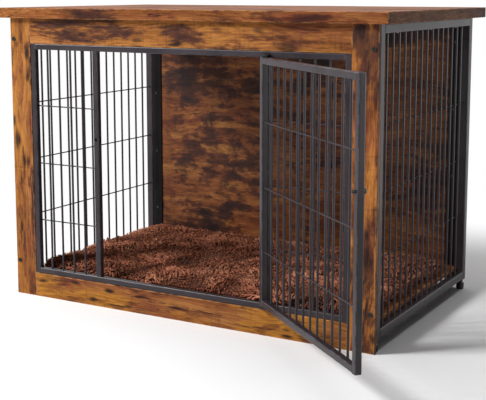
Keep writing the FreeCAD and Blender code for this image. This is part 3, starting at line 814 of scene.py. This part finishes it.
@dataclass(frozen=True)
class BareBeech(Finish):
    """Unfinished dowel wood."""

    FIBRE = Layer((20, 700, 700), 3.0, 0.6)
    TONES = ((0.3, paint(186, 146, 100)), (0.7, paint(216, 182, 136)))
    ROUGH_SPAN = (0.3, 0.7, 0.75, 0.6)
    RELIEF = (0.2, 0.0003)

    def feed(self, sheet: NodeSheet, effects: Effects, place: Socket) -> Mapping[str, Any]:
        """Draws fine fibres along the dowels."""
        fibre = self.FIBRE.lay(sheet, place)
        return {"Base Color": sheet.ramp(fibre, self.TONES), "Roughness": sheet.span(fibre, *self.ROUGH_SPAN),
                "Normal": sheet.bump(fibre, *self.RELIEF)}


@dataclass(frozen=True)
class ShagPile(Finish):
    """Brown plush.

    Attributes:
        deep_and_root_shade: Darkest tone: the low end of the random tone from swirl to swirl, and painted
            shade at the roots of the locks.
        middle: Tone between.
        crest: Tone of the pile's crests.
        hair: Hairs in a metre.
        root_shaded: Whether the mesh says how near the tip of its lock each point is, so that the roots get
            painted shade.
    """

    deep_and_root_shade: Colour = paint(70, 38, 29)
    middle: Colour = paint(164, 99, 74)
    crest: Colour = paint(212, 146, 114)
    hair: float = 420.0
    root_shaded: bool = True

    # Painted shade: near the roots the pile takes the darkest tone, where the locks shade each other.
    ROOT_SHADE_SPAN = (0.05, 0.75)
    ROUGHNESS = 0.92
    SHINE = 0.1
    SHEEN = {"Sheen Weight": 0.2, "Sheen Roughness": 0.5, "Sheen Tint": paint(206, 156, 124)}
    RELIEF = (0.4, 0.001)

    def feed(self, sheet: NodeSheet, effects: Effects, place: Socket) -> Mapping[str, Any]:
        """Varies the brown by lock and by hair, paints shade on the roots and gives it a soft sheen.

        Args:
            sheet: Sheet of the material's tree.
            effects: Node groups to draw on.
            place: Coordinate in the crate's frame.

        Returns:
            What the shader gets.
        """
        tone = effects.plush.place(sheet, {"Vector": place, "Deep": self.deep_and_root_shade, "Middle": self.middle,
                                           "Crest": self.crest, "Hair": self.hair})
        colour = tone["Color"]
        # Painted shade at the roots, from how near the tip each point is.
        if self.root_shaded:
            near = sheet.put("ShaderNodeAttribute", attribute_name=TIP_LAYER).outputs["Fac"]
            colour = sheet.mix(sheet.span(near, *self.ROOT_SHADE_SPAN), self.deep_and_root_shade, colour)
        return {"Base Color": colour, "Roughness": self.ROUGHNESS, "Specular IOR Level": self.SHINE,
                **self.SHEEN, "Normal": sheet.bump(tone["Height"], *self.RELIEF)}


COAT = PowderCoat("black_powder_coat")
# Same coat as the frame's, but darker and matt: painted shade on the flanges deep inside the crate.
FLANGE_SHADE_COAT = PowderCoat("flange_coat_painted_shade", paint(16, 14, 15), paint(26, 22, 24), shine=0.1)
PLASTIC = PowderCoat("moulded_black_plastic", paint(26, 26, 26), paint(34, 34, 34), 500.0, 0.3, 0.3)
BLACKENED = PowderCoat("blackened_steel", paint(14, 13, 14), paint(26, 25, 26), 1500.0, 0.1, 0.4)
SCREW_PLATE = BlackZinc("black_zinc")
DOWEL_WOOD = BareBeech("bare_beech")
PILE = ShagPile("plush_pile")
BACKING = ShagPile("plush_backing", paint(44, 25, 20), paint(66, 38, 29), paint(88, 52, 38), 700.0, False)


def mesh_data(mesh: BMesh, name: str) -> bpy.types.Mesh:
    """Writes a finished mesh out and frees it.

    Args:
        mesh: The mesh.
        name: Name of its data.

    Returns:
        Its data.
    """
    data = bpy.data.meshes.new(name)
    mesh.to_mesh(data)
    mesh.free()
    return data


def add_object(name: str, data: Any) -> Object:
    """Adds an object to the scene.

    Args:
        name: Its name.
        data: Its mesh, lamp or camera.

    Returns:
        The object, at the origin.
    """
    added = bpy.data.objects.new(name, data)
    bpy.context.scene.collection.objects.link(added)
    return added


class Paintshop:
    """Makes each finish once, dresses the solids and settles the new pieces.

    Attributes:
        solids: The frame's solids by name.
        effects: The node groups.
        made: Material of each finish so far.
        dressed: Name of each dressed solid's finish.
        pieces: The new pieces so far.
    """

    def __init__(self, solids: Mapping[str, Object]) -> None:
        """Keeps the frame's solids and sets out the node groups."""
        self.solids = solids
        self.effects = Effects()
        self.made: dict[Finish, bpy.types.Material] = {}
        self.dressed: dict[str, str] = {}
        self.pieces: list[Object] = []

    def material(self, finish: Finish) -> bpy.types.Material:
        """Material of a finish, made at its first use.

        Args:
            finish: The finish.

        Returns:
            Its material.
        """
        if finish not in self.made:
            self.made[finish] = finish.make(self.effects)
        return self.made[finish]

    def dress(self, finish: Finish, names: Iterable[str]) -> None:
        """Gives solids of the frame a finish.

        Args:
            finish: The finish.
            names: Names of the solids.
        """
        for name in names:
            skins = self.solids[name].data.materials
            skins.clear()
            skins.append(self.material(finish))
            self.dressed[name] = finish.name

    def coat_tubes(self, tubes: Iterable[str], turn: float = 0.0, pivot: Point = ORIGIN) -> None:
        """Coats tubes, each with a painted highlight along its own edges.

        Args:
            tubes: Names of the tubes.
            turn: Turn about Z from their own frame to the crate's.
            pivot: Where their own frame has its origin.
        """
        for tube in tubes:
            box = OwnBox.of(self.solids[tube], turn, pivot)
            self.dress(replace(COAT, name=f"{tube}_coat", box=box), [tube])

    def settle(self, mesh: BMesh, name: str, finish: Finish, body: Body, slot: Slot) -> Object:
        """Makes a finished mesh a piece of the crate.

        Args:
            mesh: Mesh in the crate's frame. It is freed.
            name: Name of the piece.
            finish: Its finish.
            body: Body that it rides on.
            slot: Record slot of its finish. Not used.

        Returns:
            The piece, at the origin.
        """
        data = mesh_data(mesh, name)
        data.materials.append(self.material(finish))
        data.shade_smooth()
        piece = add_object(name, data)
        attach(piece, body.value)
        self.pieces.append(piece)
        return piece

    def weld(self, name: str, grilles: Iterable[RodGrille], body: Body, turn: float = 0.0,
             pivot: Point = ORIGIN) -> None:
        """Coats grilles and spot-welds them.

        Args:
            name: Name of the welds' piece.
            grilles: The grilles.
            body: Body that they are part of.
            turn: Turn about Z from their own frame to the crate's.
            pivot: Where their own frame has its origin.
        """
        welds = bmesh.new()
        for grille in grilles:
            self.dress(COAT, [grille.solid])
            grille.add_welds(welds, OwnBox.of(self.solids[grille.solid], turn, pivot))
        self.settle(welds, name, COAT, body, Slot.STEEL)


def rise(edge: bmesh.types.BMEdge) -> float:
    """Height from one end of an edge to the other."""
    return abs(edge.verts[0].co.z - edge.verts[1].co.z)


@dataclass(frozen=True)
class RodGrille:
    """Welded grille of one solid: upright bars, with cross wires on one side of them.

    Attributes:
        solid: Name of the grille's solid.
        bars: How many bars it has.
        run: Axis that the wires run along.
        wire_side: Side of the bars that the wires are on, along the other axis.
        bar_diameter: Diameter of a bar.
        weld_radius: Radius of a spot weld.
        lowest_wire: Height of the lowest wire.
        wire_pitch: Distance from wire to wire.
        wires: How many wires it has.
    """

    solid: str
    bars: int
    run: Run = Run.X
    wire_side: Side = Side.HIGH
    bar_diameter: float = 0.005
    weld_radius: float = 0.0021
    lowest_wire: float = 0.190
    wire_pitch: float = 0.139
    wires: int = 3

    def add_welds(self, mesh: BMesh, box: OwnBox) -> None:
        """Puts a spot weld between bar and wire at each crossing.

        Args:
            mesh: Mesh that gets the welds.
            box: Box of the grille.
        """
        along, aside = self.run.value, 1 - self.run.value
        first, last = box.low[along], box.high[along]
        outer = (box.low if self.wire_side is Side.HIGH else box.high)[aside]
        spot = Vector(ORIGIN)
        spot[aside] = outer + self.wire_side.value * self.bar_diameter
        for wire in range(self.wires):
            spot.z = self.lowest_wire + wire * self.wire_pitch
            for bar in range(self.bars):
                spot[along] = first + (last - first) * (bar + 1) / (self.bars + 1)
                bmesh.ops.create_icosphere(mesh, subdivisions=1, radius=self.weld_radius,
                                           matrix=Matrix.Translation(box.stand() @ spot))


@dataclass
class BoardWork:
    """Tabletop, front frame, back panel and floor board, in printed wood.

    Attributes:
        prints: Print of each board, by the name of its solid.
    """

    prints: dict[str, WoodPrint] = field(default_factory=lambda: {
        "tabletop": WoodPrint("tabletop_print", Grain.ALONG_X, seed=1.0, patches=0.6, gold=0.22, knots=0.4,
                              shade=0.6, banded=True, shine=0.06),
        "front_left_stile": WoodPrint("left_stile_print", Grain.ALONG_Z, seed=2.0, patches=0.5, gold=0.55,
                                      knots=0.9, shade=0.6),
        "front_right_stile": WoodPrint("right_stile_print", Grain.ALONG_Z, seed=3.0, patches=0.75, gold=0.4,
                                       knots=0.9, shade=0.9),
        "front_top_rail": WoodPrint("top_rail_print", Grain.ALONG_X, seed=4.0, patches=0.65, gold=0.45,
                                    knots=0.7, shade=0.63),
        "front_bottom_rail": WoodPrint("bottom_rail_print", Grain.ALONG_X, seed=9.0, patches=0.6, gold=0.95,
                                       knots=0.95, shade=0.57),
        "back_panel": WoodPrint("back_panel_print", Grain.ALONG_X, seed=6.0, patches=0.72, gold=0.1,
                                knots=0.0, shade=0.56, shine=0.2, squeeze=1.8),
        "floor_board": WoodPrint("floor_board_print", Grain.ALONG_X, seed=7.0, patches=0.5, gold=0.4,
                                 knots=0.3, shade=0.7),
    })

    def build(self, shop: Paintshop) -> None:
        """Dresses each board in its own print."""
        for name, finish in self.prints.items():
            shop.dress(replace(finish, box=OwnBox.of(shop.solids[name])), [name])


@dataclass
class SteelFrame:
    """Side panels, front grille frame and back flanges.

    Attributes:
        tubes: Square tubes and crossbars.
        flanges: Strips behind the back panel's edges, in a darker coat as painted shade.
        grilles: Rod grilles of the sides and of the front's two bays.
    """

    tubes: tuple[str, ...] = (
        *(f"{side}_{part}" for side in ("left", "right")
          for part in ("front_post", "rear_post", "top_rail", "bottom_rail", "mullion")),
        *(f"grille_{part}" for part in ("left_post", "right_post", "top_tube", "bottom_tube")),
        *(f"{place}_crossbar" for place in ("front", "middle", "rear")))
    flanges: tuple[str, ...] = ("back_left_flange", "back_right_flange")
    grilles: tuple[RodGrille, ...] = (
        RodGrille("left_side_grille", 15, Run.Y, Side.HIGH),
        RodGrille("right_side_grille", 15, Run.Y, Side.LOW),
        RodGrille("front_left_grille", 4), RodGrille("front_right_grille", 4))

    def build(self, shop: Paintshop) -> None:
        """Dresses the frame and welds its grilles.

        Args:
            shop: Source of the finishes.
        """
        shop.coat_tubes(self.tubes)
        # Painted shade: the flanges get a darker copy of the frame's coat.
        shop.dress(FLANGE_SHADE_COAT, self.flanges)
        shop.weld("grille_welds", self.grilles, Body.CRATE)


@dataclass
class Door:
    """Grille door on its pivots, with the latch.

    Attributes:
        joints: The frame's joints.
        hinge: Name of its joint.
        tubes: Its frame.
        brackets: Pivot brackets on the crate.
        fittings: Pins and latch.
        mouldings: Plastic caps, bushes and washers.
        grille: Its rod grille.
    """

    joints: Sequence[Mapping[str, Any]]
    hinge: str = "door_hinge"
    tubes: tuple[str, ...] = ("door_hinge_stile", "door_free_stile", "door_top_rail", "door_bottom_rail")
    brackets: tuple[str, ...] = ("pivot_brackets",)
    fittings: tuple[str, ...] = ("pivot_pins", "latch_plunger")
    mouldings: tuple[str, ...] = ("door_end_caps", "door_pivot_bushes", "pivot_washers")
    grille: RodGrille = RodGrille("door_grille", 12)

    def build(self, shop: Paintshop) -> None:
        """Dresses the door and welds its grille.

        Args:
            shop: Source of the finishes.
        """
        shop.dress(COAT, self.brackets)
        shop.dress(BLACKENED, self.fittings)
        shop.dress(PLASTIC, self.mouldings)
        hinge = next(joint for joint in self.joints if joint["name"] == self.hinge)
        pivot = (*hinge["pos_m"][:2], 0.0)
        opened = -math.radians(hinge["range_deg"][0])
        shop.coat_tubes(self.tubes, opened, pivot)
        shop.weld("door_welds", [self.grille], Body.DOOR, opened, pivot)


@dataclass
class Hardware:
    """Bolts, screws, dowels and feet.

    Attributes:
        bolts: Black bolts through the stiles.
        screws: Plated wood screws.
        dowels: Dowels of the front frame's corners.
        feet: Levelling feet and their plugs.
    """

    bolts: tuple[str, ...] = ("stile_bolts",)
    screws: tuple[str, ...] = ("tabletop_screws", "back_screws", "grille_screws")
    dowels: tuple[str, ...] = ("rail_dowels",)
    feet: tuple[str, ...] = ("foot_plugs", "front_left_foot", "front_right_foot", "rear_left_foot",
                             "rear_right_foot")

    def build(self, shop: Paintshop) -> None:
        """Dresses the small parts.

        Args:
            shop: Source of the finishes.
        """
        shop.dress(BLACKENED, self.bolts)
        shop.dress(SCREW_PLATE, self.screws)
        shop.dress(DOWEL_WOOD, self.dowels)
        shop.dress(PLASTIC, self.feet)


@dataclass
class PlushPad:
    """Cloth pad of the mat, on the floor board.

    Attributes:
        solid: Name of the solid that it replaces.
        pile_room: Room for the pile, between the solid's sides and the pad before it swells.
        thickness: Thickness of the pad before it swells.
        corner: Rounding of its corners in plan.
        corner_steps: Faces round a corner.
        rim_share: Rounding of its rims, as a share of its thickness.
        rim_steps: Faces over a rim.
        voxel: Cell of the remesh before the cloth runs.
        pressure: Pressure of the air in the cloth.
        frames: Frames that the cloth runs for.
        swell: Furthest that a point of the cloth moves.
        fill: How full the pad is, from 0 to 1. Not used.
        sag: How far its sides are drawn in between the corners.
        flat_share: Height that the crown starts from, as a share of its thickness.
        crest: Lift of the pad's middle, as a share of its height.
        dents: Waves in a metre and depth of the dents in its top, large ones first.
    """

    solid: str = "plush_mat"
    pile_room: float = 0.0115
    thickness: float = 0.0135
    corner: float = 0.045
    corner_steps: int = 6
    rim_share: float = 0.42
    rim_steps: int = 3
    voxel: float = 0.0065
    pressure: float = 4.0
    frames: int = 20
    swell: float = 0.008
    fill: float = 0.5
    sag: float = 0.006
    flat_share: float = 0.3
    crest: float = 0.16
    dents: tuple[tuple[float, float], ...] = ((5.5, 0.2), (14.0, 0.16))

    # Powers that round the crown off towards the sides, and bow the sides in.
    ROUND, BOW = 4, 2

    def __post_init__(self) -> None:
        """Takes the mat's room from the solid, and the pad's edges from that."""
        self.low, self.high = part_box(self.solid)
        self.seat = self.low.z
        self.half_length = self.high.x - self.pile_room
        self.half_depth = (self.high.y - self.low.y) / 2 - self.pile_room
        self.middle = Vector((0, (self.low.y + self.high.y) / 2, self.seat))

    def blank(self) -> BMesh:
        """Slab with round corners and rounded rims, before it swells.

        Returns:
            Its mesh.
        """
        mesh = bmesh.new()
        shape = Matrix.Diagonal((2 * self.half_length, 2 * self.half_depth, self.thickness, 1))
        lift = Matrix.Translation(self.middle + Vector((0, 0, self.thickness / 2)))
        bmesh.ops.create_cube(mesh, size=1.0, matrix=lift @ shape)
        upright = [edge for edge in mesh.edges if rise(edge) > LEVEL]
        bmesh.ops.bevel(mesh, geom=upright, offset=self.corner, affect="EDGES", segments=self.corner_steps,
                        profile=0.5, material=-1)
        rims = [edge for edge in mesh.edges if rise(edge) < LEVEL]
        bmesh.ops.bevel(mesh, geom=rims, offset=self.thickness * self.rim_share, affect="EDGES",
                        segments=self.rim_steps, profile=0.5, material=-1)
        bmesh.ops.recalc_face_normals(mesh, faces=mesh.faces)
        return mesh

    def inflate(self, pad: Object) -> None:
        """Lets air pressure swell the pad as cloth, then holds each point to its greatest travel.

        Args:
            pad: The pad. Its mesh is replaced by the swollen one.
        """
        scene = bpy.context.scene
        bpy.context.view_layer.objects.active = pad
        pad.data.remesh_voxel_size = self.voxel
        bpy.ops.object.voxel_remesh()
        start = [vertex.co.copy() for vertex in pad.data.vertices]
        cloth = pad.modifiers.new("swell", "CLOTH")
        cloth.settings.use_pressure = True
        cloth.settings.uniform_pressure_force = self.pressure
        cloth.settings.effector_weights.gravity = 0.0
        cloth.point_cache.frame_end = self.frames
        for frame in range(1, self.frames + 1):
            scene.frame_set(frame)
        swollen = pad.evaluated_get(bpy.context.evaluated_depsgraph_get()).data
        moved = [vertex.co.copy() for vertex in swollen.vertices]
        pad.modifiers.remove(cloth)
        scene.frame_set(1)
        for vertex, home, place in zip(pad.data.vertices, start, moved):
            step = place - home
            if step.length > self.swell:
                step *= self.swell / step.length
            vertex.co = home + step
            vertex.co.z = max(vertex.co.z, self.seat)

    def crown(self, pad: Object) -> None:
        """Lifts the middle of the pad, dents its top and draws its sides in between the corners.

        Args:
            pad: The pad. Its points are moved.
        """
        rim = self.flat_share * self.thickness
        for vertex in pad.data.vertices:
            place = vertex.co - self.middle
            across = min(1.0, abs(place.x) / self.half_length)
            along = min(1.0, abs(place.y) / self.half_depth)
            swell = self.crest * (1 - across ** self.ROUND) * (1 - along ** self.ROUND)
            for waves, depth in self.dents:
                swell += depth * noise.noise(Vector((place.x * waves, place.y * waves, waves)))
            vertex.co.z += swell * max(0.0, place.z - rim)
            inward = self.sag * across ** self.ROUND * (1 - along ** self.BOW)
            vertex.co.x -= math.copysign(inward, place.x)
            inward = self.sag * along ** self.ROUND * (1 - across ** self.BOW)
            vertex.co.y -= math.copysign(inward, place.y)

    def build(self, shop: Paintshop) -> Object:
        """Makes the pad.

        Args:
            shop: Source of its finish.

        Returns:
            The pad.
        """
        pad = shop.settle(self.blank(), "plush_mat_pad", BACKING, Body.CRATE, Slot.PLUSH)
        self.inflate(pad)
        self.crown(pad)
        finer = pad.modifiers.new("soften", "SUBSURF")
        finer.levels = 1
        finer.render_levels = 1
        pad.data.shade_smooth()
        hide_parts(self.solid)
        return pad


@dataclass(frozen=True)
class Lock:
    """One lock of pile: a curved, pointed strand that stands on the origin.

    Attributes:
        bend: How far its tip leans, as a share of its length.
        twist: Turn of its cross section from root to tip.
        length: Its length.
        radius: Its radius at the root.
        sides: Sides of its cross section.
        taper: Radius towards the tip, as a share of the root's.
        belly: How much thicker it is halfway up.
        droop: How much lower a bend brings its tip.
    """

    bend: float
    twist: float
    length: float = 0.0165
    radius: float = 0.0027
    sides: int = 3
    taper: float = 0.2
    belly: float = 0.7
    droop: float = 0.25

    def make(self) -> tuple[bpy.types.Mesh, list[float]]:
        """Shapes the lock.

        Returns:
            Its mesh, and how near the tip each point is.
        """
        mesh = bmesh.new()
        bmesh.ops.create_cone(mesh, cap_ends=True, segments=self.sides, radius1=self.radius,
                              radius2=self.radius * self.taper, depth=self.length,
                              matrix=Matrix.Translation((0, 0, self.length / 2)))
        strands = [edge for edge in mesh.edges if rise(edge) > LEVEL]
        bmesh.ops.subdivide_edges(mesh, edges=strands, cuts=1)
        tip = [vertex for vertex in mesh.verts if vertex.co.z > self.length - LEVEL]
        bmesh.ops.pointmerge(mesh, verts=tip, merge_co=(0, 0, self.length))
        shares = []
        for vertex in mesh.verts:
            share = vertex.co.z / self.length
            shares.append(share)
            belly = 1 + self.belly * math.sin(math.pi * share)
            flat = Matrix.Rotation(self.twist * share, 3, "Z") @ Vector((vertex.co.x, vertex.co.y, 0)) * belly
            vertex.co = Vector((flat.x + self.bend * self.length * share ** 2, flat.y,
                                vertex.co.z * (1 - self.droop * abs(self.bend) * share)))
        return mesh_data(mesh, "lock"), shares


@dataclass
class PlushPile:
    """Pile of the mat: locks on the top of its pad and round its sides.

    Attributes:
        pad: Sizes of the pad.
        locks: Kinds of lock.
        spacing: Distance from lock to lock.
        jitter: Furthest that a lock strays from its place, in spacings.
        spare_rows: Rows and columns laid beyond the pad's size.
        fringe: Heights over the seat of the locks round the pad's sides.
        sink: Depth of a root in the pad.
        swirls: Waves in a metre of the swirls that the locks lean in.
        swirl_level: Level of the noise that the swirls are read at.
        leans: Pull of the swirls and of chance on a lock.
        tilt: How far that pull tips it over.
        sizes: Smallest and largest lock.
        tufts: Waves in a metre, mean and swing of the size from tuft to tuft.
        stray: How far a lock may stand out of the solid's box, along each axis.
        seed: Seed of all chance.
    """

    pad: PlushPad
    locks: tuple[Lock, ...] = (Lock(0.5, 0.6), Lock(0.75, -0.8), Lock(0.95, 1.2), Lock(0.6, -1.6),
                               Lock(0.85, 0.2))
    spacing: float = 0.0053
    jitter: float = 0.4
    spare_rows: int = 3
    fringe: tuple[float, ...] = (0.006, 0.012)
    sink: float = 0.002
    swirls: float = 13.0
    swirl_level: float = 0.7
    leans: tuple[float, float] = (1.5, 0.5)
    tilt: float = 0.55
    sizes: tuple[float, float] = (0.75, 1.1)
    tufts: tuple[float, float, float] = (19.0, 0.82, 0.55)
    stray: Point = (0.0025, 0.002, 0.005)
    seed: int = 20

    # Height that the lines start from, how far out they start, and the least tip of a lock's side.
    DROP, OUT, LEAST = 1.0, 2, 0.01

    def rays(self, dice: random.Random) -> Iterable[tuple[Vector, Vector]]:
        """Lines that meet the pad where a lock stands: down on its top, then inwards on its sides.

        Args:
            dice: Source of the jitter.

        Yields:
            Start and direction of each line.
        """
        pad, gap = self.pad, self.spacing
        columns = int(2 * pad.half_length / gap) + self.spare_rows
        rows = int(2 * pad.half_depth / gap) + self.spare_rows
        for row in range(rows):
            for column in range(columns):
                across = column + dice.uniform(-self.jitter, self.jitter) + 0.5 * (row % 2) - columns / 2
                along = row + dice.uniform(-self.jitter, self.jitter) - rows / 2
                yield pad.middle + Vector((across * gap, along * gap, self.DROP)), Vector((0, 0, -1))
        steps = int(4 * (pad.half_length + 2 * pad.half_depth) / gap)
        for level in self.fringe:
            for step in range(steps):
                angle = 2 * math.pi * (step + dice.uniform(-self.jitter, self.jitter)) / steps
                ray = Vector((math.cos(angle) * pad.half_length, math.sin(angle) * pad.half_depth, 0))
                yield pad.middle + ray * self.OUT + Vector((0, 0, level)), -ray.normalized()

    def roots(self, pad: Object, dice: random.Random) -> list[tuple[Vector, Vector]]:
        """Root and outward direction of each lock.

        Args:
            pad: The finished pad.
            dice: Source of the jitter.

        Returns:
            The roots with their directions.
        """
        tree = BVHTree.FromObject(pad, bpy.context.evaluated_depsgraph_get())
        hits = (tree.ray_cast(start, direction) for start, direction in self.rays(dice))
        return [(place, normal) for place, normal, _, _ in hits if place is not None]

    def stand(self, root: Vector, normal: Vector, dice: random.Random) -> Matrix:
        """Place, lean and size of one lock.

        Args:
            root: Where it grows from.
            normal: Outward direction of the pad there.
            dice: Source of chance.

        Returns:
            Its way from the origin to its root.
        """
        swirl = noise.noise_vector(Vector((root.x * self.swirls, root.y * self.swirls, self.swirl_level)))
        chance = Vector((dice.uniform(-1, 1), dice.uniform(-1, 1), 0))
        lean = Vector((swirl.x, swirl.y, 0)) * self.leans[0] + chance * self.leans[1]
        axis = (normal + lean * self.tilt).normalized()
        side = axis.cross(Vector((lean.y, -lean.x, self.LEAST))).normalized()
        frame = Matrix((side, axis.cross(side), axis)).transposed().to_4x4()
        waves, mean, swing = self.tufts
        scale = dice.uniform(*self.sizes) * (mean + swing * noise.noise(root * waves))
        return Matrix.Translation(root - normal * self.sink) @ frame @ Matrix.Scale(scale, 4)

    def mesh(self, pad: Object) -> BMesh:
        """Stands a lock on each root. They lean together in swirls, and stay in the mat's room.

        Args:
            pad: The finished pad.

        Returns:
            Mesh of all the locks, with how near the tip of its lock each point is.
        """
        dice = random.Random(self.seed)
        noise.seed_set(self.seed)
        kinds = [lock.make() for lock in self.locks]
        shares: list[float] = []
        mesh = bmesh.new()
        for root, normal in self.roots(pad, dice):
            stand = self.stand(root, normal, dice)
            kind, tips = dice.choice(kinds)
            lock = kind.copy()
            lock.transform(stand)
            mesh.from_mesh(lock)
            shares.extend(tips)
            bpy.data.meshes.remove(lock)
        for kind, _ in kinds:
            bpy.data.meshes.remove(kind)
        stray = Vector(self.stray)
        low, high = self.pad.low - stray, self.pad.high + stray
        low.z = self.pad.seat
        layer = mesh.verts.layers.float.new(TIP_LAYER)
        for vertex, share in zip(mesh.verts, shares):
            vertex[layer] = share
            for axis in range(3):
                vertex.co[axis] = min(max(vertex.co[axis], low[axis]), high[axis])
        return mesh

    def build(self, shop: Paintshop) -> None:
        """Makes the pad and its pile."""
        pad = self.pad.build(shop)
        shop.settle(self.mesh(pad), "plush_mat_pile", PILE, Body.CRATE, Slot.PLUSH)


@dataclass(frozen=True)
class Lamp:
    """Soft square lamp.

    Attributes:
        name: Name of the lamp.
        place: Where it hangs.
        target: Point that it faces.
        side: Side of its square.
        power: Its power, in watts.
        mirrored: Whether only mirroring surfaces show its light.
    """

    name: str
    place: Point
    target: Point
    side: float
    power: float
    mirrored: bool = False

    def hang(self) -> None:
        """Adds the lamp to the scene."""
        lamp = bpy.data.lights.new(self.name, "AREA")
        lamp.shape = "SQUARE"
        lamp.size = self.side
        lamp.energy = self.power
        holder = add_object(self.name, lamp)
        holder.location = self.place
        aim = Vector(self.target) - Vector(self.place)
        holder.rotation_euler = aim.to_track_quat("-Z", "Y").to_euler()
        holder.visible_diffuse = not self.mirrored


@dataclass
class Studio:
    """Floor, lights, background and camera.

    Attributes:
        floor_half: Half the floor's side.
        floor_tone: Colour of the floor.
        floor_middle: Point of the floor that its shadow fades from.
        floor_oval: Stretch of the fade along each axis.
        fade: Distances from that point at which the fade starts and ends.
        fill_tone: Colour of the even light from all round.
        fill_level: Level of that light.
        lamps: The lamps.
        camera_place: Where the camera stands.
        camera_yaw: Its turn from looking along Y, in degrees.
        camera_pitch: Its tilt below the horizon, in degrees.
        lens: Focal length, in mm.
        sensor: Width of the sensor, in mm.
        shift: Rise of the frame, as a share of its width.
    """

    floor_half: float = 9.0
    floor_tone: Colour = (0.94, 0.94, 0.945, 1.0)
    floor_middle: Point = (0.6, 0.1, 0.0)
    floor_oval: Point = (0.65, 1.0, 1.0)
    fade: tuple[float, float] = (0.75, 1.3)
    fill_tone: Colour = (0.98, 0.985, 1.0, 1.0)
    fill_level: float = 0.1
    lamps: tuple[Lamp, ...] = (
        Lamp("key", (-2.6, -2.3, 2.8), (0.0, 0.2, 0.3), 1.2, 250.0),
        Lamp("top", (0.1, 0.8, 3.4), (0.0, 0.2, 0.3), 2.4, 46.0),
        Lamp("card", (3.4, 0.6, 1.0), (0.5, 0.3, 0.4), 2.4, 120.0, True))
    camera_place: Point = (1.30716, -2.01219, 0.74392)
    camera_yaw: float = 29.636
    camera_pitch: float = 8.218
    lens: float = 80.80
    sensor: float = 36.0
    shift: float = -0.11

    def build(self) -> None:
        """Sets up the stage."""
        self.lay_floor()
        self.light_world()
        for lamp in self.lamps:
            lamp.hang()
        self.set_camera()
        bpy.context.scene.view_settings.view_transform = "Standard"

    @staticmethod
    def shown(sheet: NodeSheet) -> Socket:
        """Mask of what the camera sees, straight, mirrored or through glass.

        Args:
            sheet: Sheet of the tree that needs it.

        Returns:
            The mask.
        """
        path = sheet.put("ShaderNodeLightPath").outputs
        mirrored = sheet.calc("MAXIMUM", path["Is Camera Ray"], path["Is Glossy Ray"])
        return sheet.calc("MAXIMUM", mirrored, path["Is Transmission Ray"])

    def lay_floor(self) -> None:
        """Pale floor that keeps the crate's shadow and fades into the background far off."""
        mesh = bmesh.new()
        bmesh.ops.create_grid(mesh, x_segments=1, y_segments=1, size=self.floor_half)
        floor = add_object("floor", mesh_data(mesh, "floor"))
        material = bpy.data.materials.new("pale_floor")
        material.use_nodes = True
        sheet = NodeSheet(material.node_tree)
        oval = sheet.placed(sheet.vector("SUBTRACT", sheet.spot(), self.floor_middle), self.floor_oval)
        away = sheet.put("ShaderNodeVectorMath", {0: oval}, operation="LENGTH").outputs["Value"]
        fade = sheet.times(sheet.span(away, *self.fade), self.shown(sheet))
        paper = sheet.put("ShaderNodeBsdfDiffuse", {"Color": self.floor_tone})
        glow = sheet.put("ShaderNodeEmission", {"Color": WHITE, "Strength": 1.0})
        both = sheet.put("ShaderNodeMixShader", {0: fade, 1: paper.outputs[0], 2: glow.outputs[0]})
        sheet.put("ShaderNodeOutputMaterial", {"Surface": both.outputs[0]})
        floor.data.materials.append(material)

    def light_world(self) -> None:
        """White background for what is seen or mirrored, and a low even light for the rest."""
        world = bpy.data.worlds.new("studio")
        bpy.context.scene.world = world
        world.use_nodes = True
        sheet = NodeSheet(world.node_tree)
        white = sheet.put("ShaderNodeBackground", {"Color": WHITE, "Strength": 1.0})
        fill = sheet.put("ShaderNodeBackground", {"Color": self.fill_tone, "Strength": self.fill_level})
        both = sheet.put("ShaderNodeMixShader", {0: self.shown(sheet), 1: fill.outputs[0],
                                                 2: white.outputs[0]})
        sheet.put("ShaderNodeOutputWorld", {"Surface": both.outputs[0]})

    def set_camera(self) -> None:
        """Stands the camera where the photograph was taken from."""
        lens = bpy.data.cameras.new("camera")
        lens.lens = self.lens
        lens.sensor_width = self.sensor
        lens.shift_y = self.shift
        camera = add_object("camera", lens)
        camera.location = self.camera_place
        camera.rotation_euler = (math.radians(90 - self.camera_pitch), 0.0, math.radians(self.camera_yaw))
        bpy.context.scene.camera = camera


def main() -> None:
    """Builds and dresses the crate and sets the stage."""
    logging.basicConfig(level=logging.INFO, format="%(name)s: %(message)s")
    for extra in list(bpy.data.objects):
        bpy.data.objects.remove(extra)
    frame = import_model()
    shop = Paintshop(frame["nodes"])
    for part in (BoardWork(), SteelFrame(), Door(frame["joints"]), Hardware(), PlushPile(PlushPad())):
        part.build(shop)
    for name, finish in shop.dressed.items():
        log.info("dressed %s in %s", name, finish)
    for piece in shop.pieces:
        log.info("built %s with %d faces", piece.name, len(piece.data.polygons))
    Studio().build()


if __name__ == "__main__":
    main()
